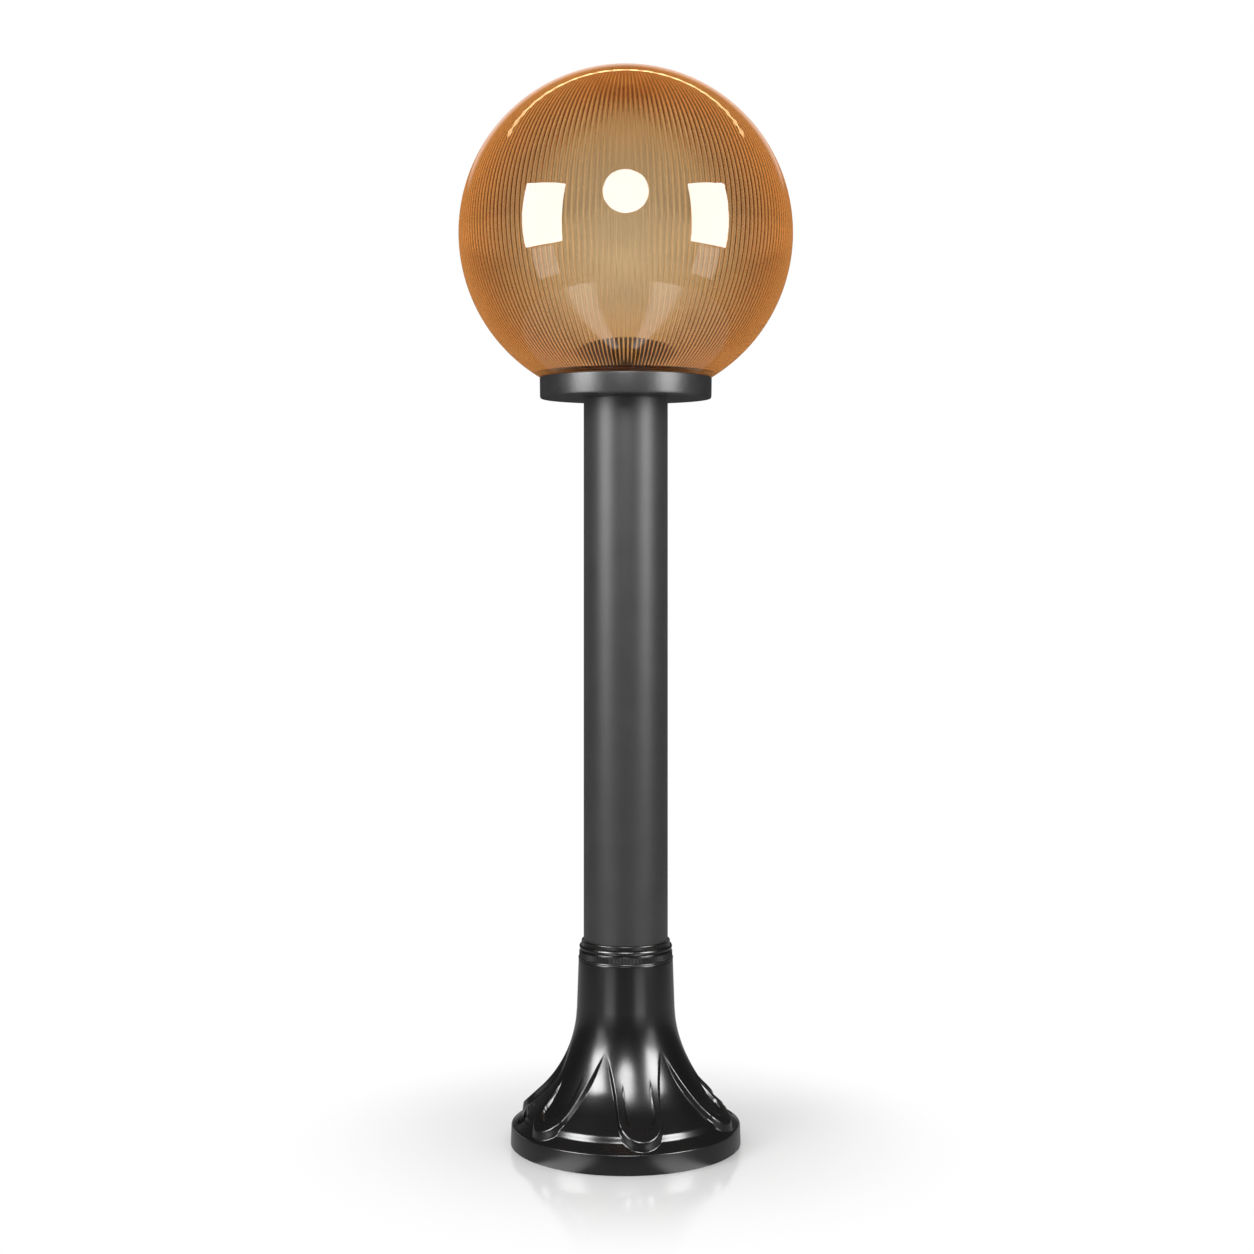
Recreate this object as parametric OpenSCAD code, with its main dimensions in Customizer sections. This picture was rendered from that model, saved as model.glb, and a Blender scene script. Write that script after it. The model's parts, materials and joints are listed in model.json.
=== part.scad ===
// Garden light post: a ribbed amber globe in a collar on a round aluminium post,
// which stands in a moulded foot with raised leaves. Millimetres, +Z up, the
// origin on the ground at the middle of the foot, and a leaf towards -Y.

/* [Foot] */
// Diameter of the foot on the ground
foot_d = 172; // [164:1:180]
// Height of the foot, up to its top lip
foot_h = 152; // [145:1:165]
// Height of the foot's upright rim
rim_h = 15; // [13:0.5:17]
// Height of a leaf's tip above the ground
leaf_tip_z = 21.5; // [20:0.5:23]
// Distance from the leaf tips to the rim's outer edge
tip_ledge = 3; // [2.5:0.1:4]
// Wall of the moulding at the neck and the skirt
foot_wall = 3.6; // [3:0.1:4.2]
// Width of the rim's ring on the ground
rim_wall = 5; // [4:0.5:7]
// Slant of the neck from upright
neck_draft = 2; // [1:0.25:3]
// Radius of the hollow flare between neck and skirt
flare_r = 91; // [80:1:100]
// Slant of the skirt from upright
skirt_slant = 47; // [45:0.5:49]

/* [Leaves] */
// Number of raised leaves
leaf_count = 6; // [5:1:8]
// Width of a leaf
leaf_w = 33; // [31:0.5:35]
// How much a leaf widens, on each side, to where it meets the next one
leaf_flare = 4; // [3:0.25:5]
// Radius of the pointed arches between the leaves
arch_r = 60; // [45:1:75]
// Depth of the panels between the leaves
panel_depth = 3; // [2:0.1:3.4]
// Distance along the flare over which a panel sinks to its depth
panel_run = 32; // [24:1:40]
// Distance from the rim's outer edge in to the panels' lower edge
panel_inset = 10.5; // [9.5:0.25:12]
// Width of the trough along a leaf
trough_w = 20.6; // [18:0.2:23]
// Depth of the trough
trough_depth = 2; // [1.2:0.1:2.4]
// Distance from a leaf's tip to the end of its trough
trough_margin = 7.5; // [6.5:0.25:9]
// Radius, about the post, at which the troughs fade out
trough_top_r = 48; // [46:0.5:54]

/* [Foot top] */
// Wall of the neck around the post's socket
neck_wall = 3.6; // [3.2:0.1:4.5]
// Depth of the socket that holds the post
socket_depth = 40; // [34:1:42]
// Gap between post and socket, on each side
socket_fit = 0.2; // [0.1:0.05:0.3]
// Thickness of the web under the socket
web_t = 3.5; // [3:0.25:5]
// Height of the knurled band
knurl_h = 4; // [3:0.25:5]
// Number of small ribs in the knurled band
knurl_count = 78; // [60:6:90]
// Depth of the knurling
knurl_depth = 0.7; // [0.4:0.05:0.8]
// Height of the round bead over the knurled band
bead_h = 4.6; // [4:0.2:5.4]

/* [Anchors] */
// Distance between the two anchor screws
anchor_pitch = 150; // [148:0.5:152]
// Diameter of an anchor screw hole
anchor_hole_d = 6.5; // [5.5:0.25:7]
// Diameter of the pocket for the anchor screw's head
anchor_head_d = 12; // [11:0.5:13]
// Thickness of the floor under the screw's head
anchor_floor_t = 8; // [6:0.5:10]

/* [Post] */
// Outer diameter of the post tube
tube_d = 63; // [60:0.5:66]
// Wall of the post tube
tube_wall = 2; // [1.5:0.1:2.5]
// Length of the post tube
tube_len = 444.4; // [300:0.2:700]
// Thickness of the flat gaskets at the tube's ends
end_gasket_t = 1.5; // [1:0.1:1.8]

/* [Collar] */
// Diameter of the collar
collar_d = 128.8; // [126:0.2:134]
// Height of the collar
collar_h = 16; // [15:0.5:18]
// Wall of the collar's rim
collar_wall = 2.8; // [2.4:0.1:3.2]
// Thickness of the collar's floor
collar_floor = 4; // [3.5:0.25:5]
// How far the collar's spigot reaches down into the post
spigot_len = 22; // [20:1:30]
// Wall of the spigot
spigot_wall = 2.5; // [2:0.1:3]
// Gap between spigot and post, on each side
spigot_fit = 0.2; // [0.1:0.05:0.3]

/* [Globe] */
// Outer diameter of the globe
globe_d = 250; // [220:1:280]
// Wall of the globe between its ribs
globe_wall = 2.5; // [2:0.1:3]
// Number of upright ribs inside the globe
rib_count = 180; // [120:6:180]
// Depth of the ribs
rib_depth = 1; // [0.5:0.1:1.2]
// Radius of the plain cap at the top, inside the ribs
rib_cap_r = 20; // [15:1:30]
// Thickness of the shoulder that rests on the collar
shoulder_t = 3; // [2.5:0.1:4]
// Gap around the neck for the globe's gasket
gasket_gap = 3.1; // [2.6:0.1:3.6]
// Wall of the globe's neck
neck_t = 3; // [2.5:0.1:3.5]
// Length of the neck under the shoulder
neck_len = 11; // [10.6:0.1:11.3]
// Number of bayonet lugs
lug_count = 3; // [3:1:4]
// Angle that one bayonet lug spans
lug_angle = 26; // [20:1:30]
// Thickness of a bayonet lug and of the ramp over it
lug_t = 3; // [2.5:0.1:3.2]
// Gap around a locked lug
lug_fit = 0.3; // [0.2:0.05:0.4]

/* [Tie rod] */
// Diameter of the rod that clamps foot, post and collar together
rod_d = 8; // [7:0.5:9]
// Width across flats of the rod's nuts
rod_nut_af = 13; // [12:0.5:14]
// Height of the rod's nuts
rod_nut_h = 6.5; // [5:0.25:7]
// Outer diameter of the rod's washers
rod_washer_d = 24; // [18:1:24]
// Thickness of the rod's washers
rod_washer_t = 2; // [1.5:0.1:2.2]
// Gap around the rod in its holes
rod_fit = 0.4; // [0.2:0.05:0.6]
// How far the rod stands out of its nuts
rod_stub = 2.5; // [2:0.25:3]

/* [Cable way] */
// Diameter of the supply cable's way
cable_d = 8; // [6:0.5:9]
// Wall of the rubber grommet
grommet_wall = 1.5; // [1:0.1:1.6]
// Distance of the cable way from the post's axis
cable_offset = 19; // [18.6:0.1:19.4]

/* [Lampholder] */
// Outer diameter of the lampholder
holder_d = 38; // [36:0.5:40]
// Height of the lampholder's screwed cap
holder_cap_h = 13; // [12:0.5:15]
// Height of the lampholder's barrel
holder_barrel_h = 22; // [21:0.5:25]
// Wall of cap and barrel
holder_wall = 2; // [1.6:0.1:2.4]
// Diameter inside the lamp's screw shell
lamp_thread_d = 26.6; // [26:0.1:27]
// Thickness of the screw shell
thread_shell_t = 0.4; // [0.3:0.05:0.5]
// Thickness of the insert that carries the contacts
insert_t = 5; // [4.5:0.25:6]
// Thickness of the contact strips
contact_t = 0.6; // [0.5:0.05:0.8]
// Diameter of the threaded nipple under the lampholder
nipple_d = 10; // [9.5:0.5:10.5]
// Wall of the nipple
nipple_wall = 1; // [0.8:0.05:1.2]
// Thickness of the nipple's lock nut
nipple_nut_h = 3; // [2.5:0.25:3.5]

/* [Strap] */
// Thickness of the steel strap under the lampholder
strap_t = 1.5; // [1.2:0.1:2]
// Width of the strap
strap_w = 20; // [18:0.5:22]
// Height of the two bosses that carry the strap
strap_boss_h = 4; // [3.5:0.25:5]
// Diameter of the strap's screws
strap_screw_d = 3.5; // [3:0.1:4]
// Distance from the post's wall out to the strap's screws
strap_screw_out = 6.5; // [6:0.25:7.5]

/* [Terminal block] */
// Length of the terminal block, across both poles
block_l = 22; // [21:0.5:24]
// Depth of the terminal block
block_w = 15; // [14:0.5:16]
// Height of the terminal block
block_h = 13; // [12:0.5:14]
// Distance between its two poles
pole_pitch = 12; // [11:0.5:12.5]
// Outer diameter of the brass inserts
pole_d = 5; // [4.6:0.1:5.4]
// Bore of the brass inserts
pole_bore_d = 3.2; // [3:0.1:3.4]
// Diameter of the clamping screws
clamp_screw_d = 2.5; // [2:0.1:3]
// Diameter of one insulated lead
lead_d = 2.2; // [1.8:0.1:2.4]

/* [Hidden] */
$fn = 96;
// Small overlap that makes one solid of two, and lets a cut run past a face
eps = 0.5;

// Heights up the post
web_top = foot_h - socket_depth - end_gasket_t;
web_bottom = web_top - web_t;
tube_bottom = foot_h - socket_depth;
tube_top = tube_bottom + tube_len;
collar_top = tube_top + collar_h;
floor_top = tube_top + collar_floor;
cup_bottom = tube_top - spigot_len;
cup_floor = cup_bottom + collar_floor;
boss_top = floor_top + strap_boss_h;
strap_top = boss_top + strap_t;
insert_bottom = strap_top + holder_cap_h - insert_t;
barrel_bottom = strap_top + holder_cap_h;
barrel_top = barrel_bottom + holder_barrel_h;

// Radii of the post and of what it fits
tube_r = tube_d / 2;
tube_bore_r = tube_r - tube_wall;
socket_r = tube_r + socket_fit;
neck_r = socket_r + neck_wall;
spigot_r = tube_bore_r - spigot_fit;
cup_r = spigot_r - spigot_wall;

// Collar, globe neck and bayonet
collar_r = collar_d / 2;
collar_bore_r = collar_r - collar_wall;
globe_r = globe_d / 2;
globe_z = collar_top + sqrt(globe_r ^ 2 - collar_r ^ 2);
globe_neck_r = collar_bore_r - gasket_gap;
globe_mouth_r = globe_neck_r - neck_t;
rib_tip_r = globe_r - globe_wall - rib_depth;
rib_root_r = globe_r - globe_wall;
lug_reach = gasket_gap - 2 * lug_fit;
lug_bottom = collar_top - neck_len;
ramp_bottom = lug_bottom + lug_t + lug_fit;
ramp_top = ramp_bottom + lug_t;
ring_fit = 0.1;

// Mouldings at the foot's top, from the top down
lip_h = 1.5;
cove_h = 1.5;
lip_r = neck_r - 2.4;
bead_r = neck_r - 0.6;
bead_top = foot_h - lip_h - cove_h;
knurl_top = bead_top - bead_h - 1;
knurl_bottom = knurl_top - knurl_h;
neck_lip_h = 2;
neck_top = knurl_bottom - neck_lip_h;
knurl_r = neck_r - 0.4;
edge_round = 1;

// Skirt line through the leaf tips, and the hollow arc that joins it to the neck
foot_r = foot_d / 2;
tip_r = foot_r - tip_ledge;
neck_dir = [sin(neck_draft), -cos(neck_draft)];
skirt_dir = [sin(skirt_slant), -cos(skirt_slant)];
// Where the neck's line and the skirt's line would cross
cross_run = ((neck_top - leaf_tip_z) * tan(skirt_slant) - (tip_r - neck_r))
    / (cos(neck_draft) * tan(skirt_slant) - sin(neck_draft));
flare_half = (skirt_slant - neck_draft) / 2;
flare_start = [neck_r, neck_top] + neck_dir * (cross_run - flare_r * tan(flare_half));
flare_centre = flare_start + flare_r * [cos(neck_draft), sin(neck_draft)];
flare_len = flare_r * (skirt_slant - neck_draft) * PI / 180;
flare_end = flare_centre - flare_r * [cos(skirt_slant), sin(skirt_slant)];

// Leaf outline in plan
leaf_half = leaf_w / 2;
half_step = 180 / leaf_count;
apex_r = (leaf_half + leaf_flare) / sin(half_step);
arch_run = sqrt(arch_r ^ 2 - (arch_r - leaf_flare) ^ 2);
tip_centre = tip_r - leaf_half;
trough_end = tip_r - trough_margin - trough_w / 2;

// Lower edge of the panels and the ledge outside it
panel_end_r = foot_r - panel_inset;
ledge_r = panel_end_r + 1.5;
ledge_z = rim_h + 5.5;
rim_top_r = foot_r - 1.5;

// Place of a screw whose head stands on the strap, and of the terminal block
strap_screw_r = tube_r + strap_screw_out;
block_y = (cup_r + globe_mouth_r) / 2;
block_base_h = 0.6 * block_h;
pole_z = floor_top + 5;
nipple_r = nipple_d / 2;
nipple_bottom = boss_top - nipple_nut_h - 1.5;
nipple_top = strap_top + holder_wall + 2;
shell_r = lamp_thread_d / 2 + thread_shell_t;
contact_rise = 4;
shell_bottom = barrel_bottom + contact_rise + 1;
holder_r = holder_d / 2;
cap_r = holder_r - 0.5;
contact_x = 7;
lead_x = lead_d / 2 + 0.3;

// Point on the flare at arc length u below its start, sunk by depth d under the surface
function flare_angle(u) = neck_draft + max(0, min(u, flare_len)) / flare_r * 180 / PI;
function flare_base(u) =
    u < 0 ? flare_start + neck_dir * u :
    u > flare_len ? flare_end + skirt_dir * (u - flare_len) :
    flare_centre - flare_r * [cos(flare_angle(u)), sin(flare_angle(u))];
function flare_point(u, d) = flare_base(u) - d * [cos(flare_angle(u)), sin(flare_angle(u))];

// Arc length at which the surface has radius r
function flare_at(r) =
    r > flare_end[0] ? flare_len + (r - flare_end[0]) / sin(skirt_slant) :
    (acos((flare_centre[0] - r) / flare_r) - neck_draft) * PI / 180 * flare_r;

// Smooth step from 0 to 1
function ease(x) = let (c = max(0, min(1, x))) c * c * (3 - 2 * c);

panel_top_u = flare_at(apex_r);
leaf_top_u = panel_top_u + 3;
function panel_sink(u) = panel_depth * ease((u - panel_top_u) / panel_run);
trough_top_u = flare_at(trough_top_r);
function trough_sink(u) = trough_depth * ease((u - trough_top_u) / panel_run);

// Evenly spaced values from a to b, both included
function spread(a, b, n) = [for (i = [0:n]) a + (b - a) * i / n];

// Points of an arc in the r-z plane
function arc(c, r, a0, a1, n) = [for (a = spread(a0, a1, n)) c + r * [cos(a), sin(a)]];

// Outline of the mouldings at the foot's top, from the lip down to the neck
function top_moulding() = concat(
    [[lip_r - 0.6, foot_h]],
    arc([lip_r - 0.7, foot_h - 0.9], 0.9, 60, 0, 3),
    [[lip_r + 0.3, bead_top + 0.3]],
    arc([bead_r - bead_h / 2, bead_top - bead_h / 2], bead_h / 2, 60, -60, 8),
    [[bead_r - 1.2, knurl_top + 0.2], [bead_r - 1.2, knurl_bottom]],
    arc([neck_r - 0.8, knurl_bottom - neck_lip_h / 2], neck_lip_h / 2, 60, -60, 5),
    [[neck_r, neck_top]]
);

// Outline of the rim, from the ledge out and down to the ground
function rim_outline() = concat(
    [[ledge_r, ledge_z]],
    arc([rim_top_r - 1.4, rim_h - 1.4], 1.6, 60, 15, 4),
    [[foot_r, edge_round], [foot_r - edge_round / 2, 0]]
);

// Outside of the moulding with the panels' surface all round
function foot_outline() = concat(
    [[0, 0], [0, foot_h]],
    top_moulding(),
    [for (u = spread(0, panel_top_u, 4)) flare_point(u, 0)],
    [for (u = spread(panel_top_u, flare_at(panel_end_r), 14)) if (u > panel_top_u)
        flare_point(u, panel_sink(u))],
    rim_outline()
);

// Surface of the leaves, which comes out of the moulding where the panels begin to sink
function leaf_outline() = concat(
    [[0, rim_h / 2], [0, flare_point(panel_top_u, 1)[1]], flare_point(panel_top_u, 1)],
    [for (u = spread(leaf_top_u, flare_len, 9)) flare_point(u, 0)],
    [flare_point(flare_at(tip_r + 1), 0), [tip_r + 1, rim_h / 2]]
);

// One leaf's edge in plan, along +X, from one arch's top round the tip to the next arch
function leaf_edge() = concat(
    [for (t = spread(1, 0, 6)) let (x = arch_run * t)
        [apex_r * cos(half_step) + arch_run - x,
         -leaf_half - arch_r + sqrt(arch_r ^ 2 - x ^ 2)]],
    arc([tip_centre, 0], leaf_half, -90, 90, 14),
    [for (t = spread(0, 1, 6)) if (t < 1) let (x = arch_run * t)
        [apex_r * cos(half_step) + arch_run - x,
         leaf_half + arch_r - sqrt(arch_r ^ 2 - x ^ 2)]]
);

function turned(p, a) = [p[0] * cos(a) - p[1] * sin(a), p[0] * sin(a) + p[1] * cos(a)];
function leaf_direction(i) = -90 + i * 2 * half_step;

// Hollow under the moulding, one wall inside the panels
function cavity_outline() = concat(
    [[0, -eps], [foot_r - rim_wall, -eps], [foot_r - rim_wall, rim_h - foot_wall]],
    [[ledge_r - foot_wall, ledge_z - foot_wall]],
    [for (u = spread(flare_at(panel_end_r), panel_top_u, 10))
        flare_point(u, panel_sink(u) + foot_wall)],
    [for (u = spread(panel_top_u, 0, 3)) if (u < panel_top_u) flare_point(u, foot_wall)],
    [[socket_r, web_bottom], [0, web_bottom]]
);

// Solid of revolution whose seam lies in a panel, clear of anchors, leaves and cable way
module turned_solid() {
    rotate(60 / leaf_count) rotate_extrude() children();
}

module leaf_prism() {
    linear_extrude(height = foot_h)
        polygon([for (i = [0:leaf_count - 1], p = leaf_edge()) turned(p, leaf_direction(i))]);
}

module leaves() {
    intersection() {
        leaf_prism();
        turned_solid() polygon(leaf_outline());
    }
}

// Cut for the trough along one leaf
module trough() {
    trough_u = spread(trough_top_u, flare_at(tip_r), 10);
    intersection() {
        linear_extrude(height = foot_h)
            polygon(concat(
                [[trough_top_r - trough_w / 2, -trough_w / 2]],
                arc([trough_end, 0], trough_w / 2, -90, 90, 12),
                [[trough_top_r - trough_w / 2, trough_w / 2]]
            ));
        rotate_extrude()
            polygon(concat(
                [for (u = trough_u) flare_point(u, trough_sink(u))],
                [flare_point(flare_at(tip_r), -6), flare_point(trough_top_u, -6)]
            ));
    }
}

module knurled_band() {
    knurl_step = 360 / knurl_count;
    translate([0, 0, knurl_bottom - eps])
        linear_extrude(height = knurl_h + 2 * eps)
            polygon([for (i = [0:knurl_count - 1]) each [
                turned([knurl_r - knurl_depth, 0], (i - 0.5) * knurl_step),
                turned([knurl_r, 0], (i - 0.2) * knurl_step),
                turned([knurl_r, 0], (i + 0.2) * knurl_step)
            ]]);
}

// Gusset under each leaf, between the skirt and the rim
module gusset() {
    gusset_t = 2.5;
    gusset_in = foot_r - 33;
    rotate([90, 0, 0])
        translate([0, 0, -gusset_t / 2])
            linear_extrude(height = gusset_t)
                polygon([
                    [foot_r - rim_wall / 2, 4], [foot_r - rim_wall - 6, 4],
                    [gusset_in, leaf_tip_z + 20], [gusset_in, foot_h / 2],
                    [foot_r - rim_wall / 2, foot_h / 2]
                ]);
}

module at_anchors() {
    for (side = [-1, 1]) translate([side * anchor_pitch / 2, 0, 0]) children();
}

module at_cable_way() {
    translate([0, cable_offset, 0]) children();
}

module foot() {
    color("#1d1d1f")
    difference() {
        union() {
            difference() {
                union() {
                    turned_solid() polygon(foot_outline());
                    leaves();
                    knurled_band();
                }
                turned_solid() polygon(cavity_outline());
            }
            intersection() {
                turned_solid() polygon(foot_outline());
                union() {
                    for (i = [0:leaf_count - 1]) rotate(leaf_direction(i)) gusset();
                    at_anchors() cylinder(d = anchor_head_d + 2 * foot_wall, h = leaf_tip_z + 20);
                }
            }
        }
        for (i = [0:leaf_count - 1]) rotate(leaf_direction(i)) trough();
        translate([0, 0, web_top]) cylinder(r = socket_r, h = foot_h);
        translate([0, 0, web_bottom - eps]) cylinder(d = rod_d + 2 * rod_fit, h = web_t + 2 * eps);
        translate([0, 0, web_bottom - eps]) at_cable_way() cylinder(d = cable_d, h = web_t + 2 * eps);
        at_anchors() translate([0, 0, -eps]) cylinder(d = anchor_hole_d, h = foot_h);
        at_anchors() translate([0, 0, anchor_floor_t]) cylinder(d = anchor_head_d, h = foot_h);
    }
}

module ring(r_out, r_in, h) {
    difference() {
        cylinder(r = r_out, h = h);
        translate([0, 0, -eps]) cylinder(r = r_in, h = h + 2 * eps);
    }
}

module post_tube() {
    color("#4a4a4b")
    translate([0, 0, tube_bottom])
        ring(tube_r, tube_bore_r, tube_len);
}

module lower_gasket() {
    color("#2b2b2b")
    translate([0, 0, web_top])
        ring(socket_r - ring_fit, tube_bore_r - 2, end_gasket_t);
}

module upper_gasket() {
    color("#2b2b2b")
    translate([0, 0, tube_top])
        ring(tube_r + spigot_fit, spigot_r + ring_fit, end_gasket_t);
}

// Sector of a ring, centred on +X
module sector(r_out, r_in, angle, h) {
    rotate(-angle / 2)
        rotate_extrude(angle = angle)
            translate([r_in, 0])
                square([r_out - r_in, h]);
}

module at_lugs() {
    for (i = [0:lug_count - 1]) rotate(i * 360 / lug_count + 90) children();
}

module collar() {
    round_r = 1;
    boss_d = strap_screw_d + 5.6;
    blind_z = tube_top + 1.2;
    color("#333335")
    difference() {
        union() {
            rotate_extrude()
                polygon(concat(
                    [[0, cup_bottom], [spigot_r - 1, cup_bottom], [spigot_r, cup_bottom + 1]],
                    [[spigot_r, tube_top]],
                    arc([collar_r - round_r - 0.3, tube_top + round_r], round_r, -90, 0, 4),
                    arc([collar_r - round_r, collar_top - round_r], round_r, 0, 90, 4),
                    [[collar_bore_r, collar_top], [collar_bore_r, floor_top]],
                    [[cup_r, floor_top], [cup_r, cup_floor], [0, cup_floor]]
                ));
            at_lugs()
                translate([0, 0, ramp_bottom])
                    sector(collar_bore_r + eps, globe_neck_r + lug_fit, lug_angle + 6, lug_t);
            at_strap_screws()
                translate([0, 0, floor_top - eps]) cylinder(d = boss_d, h = strap_boss_h + eps);
        }
        translate([0, 0, tube_top - eps])
            ring(tube_r + spigot_fit, spigot_r, end_gasket_t + eps);
        translate([0, 0, cup_bottom - eps])
            cylinder(d = rod_d + 2 * rod_fit, h = collar_floor + 2 * eps);
        translate([0, 0, cup_bottom - eps])
            at_cable_way() cylinder(d = cable_d + 2 * grommet_wall, h = collar_floor + 2 * eps);
        at_strap_screws()
            translate([0, 0, blind_z]) cylinder(d = strap_screw_d, h = strap_boss_h + collar_floor);
        translate([0, block_y, blind_z]) cylinder(d = clamp_screw_d, h = collar_floor);
    }
}

// Grooves between the globe's ribs, as one star of thin wedges
module rib_grooves() {
    step = 360 / rib_count;
    linear_extrude(height = 2 * globe_r)
        polygon([for (i = [0:rib_count - 1]) each [
            turned([rib_cap_r, 0], (i - 0.25) * step),
            turned([globe_r, 0], (i - 0.25) * step),
            turned([globe_r, 0], (i + 0.25) * step),
            turned([rib_cap_r, 0], (i + 0.25) * step)
        ]]);
}

module globe_cavity() {
    translate([0, 0, globe_z]) {
        sphere(r = rib_tip_r);
        intersection() {
            sphere(r = rib_root_r);
            translate([0, 0, -globe_r]) rib_grooves();
        }
    }
}

module globe() {
    color("#c9863f")
    difference() {
        union() {
            difference() {
                translate([0, 0, globe_z]) sphere(r = globe_r);
                translate([0, 0, collar_top - globe_r]) cylinder(r = globe_r, h = globe_r);
                difference() {
                    globe_cavity();
                    translate([0, 0, collar_top - eps]) cylinder(r = collar_r, h = shoulder_t + eps);
                }
            }
            translate([0, 0, lug_bottom]) cylinder(r = globe_neck_r, h = neck_len + eps);
            at_lugs()
                translate([0, 0, lug_bottom])
                    sector(globe_neck_r + lug_reach, globe_neck_r - eps, lug_angle, lug_t);
        }
        translate([0, 0, lug_bottom - eps])
            cylinder(r = globe_mouth_r, h = neck_len + shoulder_t + 2 * eps);
    }
}

module globe_gasket() {
    color("#e8e4dc")
    translate([0, 0, ramp_top])
        ring(collar_bore_r - ring_fit, globe_neck_r + ring_fit, collar_top - ramp_top);
}

module tie_rod() {
    rod_bottom = web_bottom - rod_washer_t - rod_nut_h - rod_stub;
    rod_top = cup_floor + rod_washer_t + rod_nut_h + rod_stub;
    color("silver")
    translate([0, 0, rod_bottom])
        cylinder(d = rod_d, h = rod_top - rod_bottom);
}

module rod_washer() {
    ring(rod_washer_d / 2, rod_d / 2 + rod_fit, rod_washer_t);
}

// Hexagon nut that grips the rod or nipple inside it
module hex_nut(across, bore_d, h) {
    difference() {
        cylinder(d = across / cos(30), h = h, $fn = 6);
        translate([0, 0, -eps]) cylinder(d = bore_d, h = h + 2 * eps);
    }
}

module rod_top_washer() {
    color("silver") translate([0, 0, cup_floor]) rod_washer();
}

module rod_top_nut() {
    color("silver")
    translate([0, 0, cup_floor + rod_washer_t])
        hex_nut(rod_nut_af, rod_d, rod_nut_h);
}

module rod_bottom_washer() {
    color("silver") translate([0, 0, web_bottom - rod_washer_t]) rod_washer();
}

module rod_bottom_nut() {
    color("silver")
    translate([0, 0, web_bottom - rod_washer_t - rod_nut_h])
        hex_nut(rod_nut_af, rod_d, rod_nut_h);
}

module cable_grommet() {
    lip = 1;
    length = collar_floor + 2 * lip;
    hole_r = cable_d / 2 + grommet_wall;
    color("#202020")
    at_cable_way()
        difference() {
            union() {
                translate([0, 0, cup_bottom - lip]) cylinder(r = hole_r + lip, h = lip);
                translate([0, 0, cup_bottom - eps]) cylinder(r = hole_r, h = collar_floor + 2 * eps);
                translate([0, 0, cup_floor]) cylinder(r = hole_r + lip, h = lip);
            }
            translate([0, 0, cup_bottom - lip - eps]) cylinder(d = cable_d, h = length + 2 * eps);
        }
}

module at_strap_screws() {
    for (side = [-1, 1]) translate([side * strap_screw_r, 0, 0]) children();
}

module holder_strap() {
    end_r = 5;
    color("#b8babd")
    translate([0, 0, boss_top])
        linear_extrude(height = strap_t)
            difference() {
                union() {
                    circle(d = strap_w);
                    square([2 * strap_screw_r, 2 * end_r], center = true);
                    at_strap_screws() circle(r = end_r);
                }
                circle(d = nipple_d + 0.4);
                at_strap_screws() circle(d = strap_screw_d + 0.4);
            }
}

// Pan-head screw whose shank hangs down from z = 0
module screw(d, len) {
    head_d = 1.9 * d;
    head_h = 0.6 * d;
    slot_w = 0.25 * d;
    translate([0, 0, -len]) cylinder(d = d, h = len + eps);
    difference() {
        cylinder(d = head_d, h = head_h);
        translate([0, 0, head_h / 2])
            linear_extrude(height = head_h) square([slot_w, 2 * head_d], center = true);
    }
}

module strap_screws() {
    color("silver")
    at_strap_screws()
        translate([0, 0, strap_top])
            screw(strap_screw_d, strap_t + strap_boss_h + collar_floor - 2);
}

module holder_nipple() {
    color("#c9b36a")
    translate([0, 0, nipple_bottom])
        ring(nipple_r, nipple_r - nipple_wall, nipple_top - nipple_bottom);
}

module nipple_nut() {
    nut_across = nipple_d + 4;
    color("#c9b36a")
    translate([0, 0, boss_top - nipple_nut_h])
        hex_nut(nut_across, nipple_d, nipple_nut_h);
}

module holder_cap() {
    shoulder_r = 5;
    seat_w = 2;
    color("#161616")
    difference() {
        rotate_extrude()
            polygon(concat(
                [[0, strap_top], [cap_r - shoulder_r, strap_top]],
                arc([cap_r - shoulder_r, strap_top + shoulder_r], shoulder_r, -75, 0, 6),
                [[cap_r, barrel_bottom], [0, barrel_bottom]]
            ));
        translate([0, 0, strap_top + 2 * holder_wall])
            cylinder(r = cap_r - holder_wall - seat_w, h = holder_cap_h);
        translate([0, 0, insert_bottom])
            cylinder(r = cap_r - holder_wall, h = holder_cap_h);
        translate([0, 0, strap_top - eps]) cylinder(r = nipple_r, h = holder_cap_h);
    }
}

module holder_barrel() {
    edge = 1.2;
    color("#161616")
    translate([0, 0, barrel_bottom])
        rotate_extrude()
            difference() {
                polygon([
                    [0, 0], [holder_r, 0], [holder_r, holder_barrel_h - edge],
                    [holder_r - edge, holder_barrel_h], [0, holder_barrel_h]
                ]);
                square([2 * (shell_r + ring_fit), 2 * (holder_barrel_h + eps)], center = true);
            }
}

module holder_insert() {
    color("#e9e6df")
    difference() {
        translate([0, 0, insert_bottom]) cylinder(r = cap_r - holder_wall - ring_fit, h = insert_t);
        for (side = [-1, 1])
            translate([side * contact_x, 0, insert_bottom - eps])
                cylinder(d = clamp_screw_d, h = insert_t + 2 * eps);
    }
}

module thread_shell() {
    color("#c9b36a")
    translate([0, 0, shell_bottom])
        ring(shell_r, lamp_thread_d / 2, barrel_top - shell_bottom - 1);
}

// Bent strip whose outline lies in the x-z plane, with its screw's hole at screw_x
module contact_strip(outline, screw_x) {
    strip_w = 5;
    translate([0, 0, barrel_bottom])
        difference() {
            rotate([90, 0, 0]) linear_extrude(height = strip_w, center = true) polygon(outline);
            translate([screw_x, 0, -eps]) cylinder(d = clamp_screw_d, h = 10);
        }
}

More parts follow.
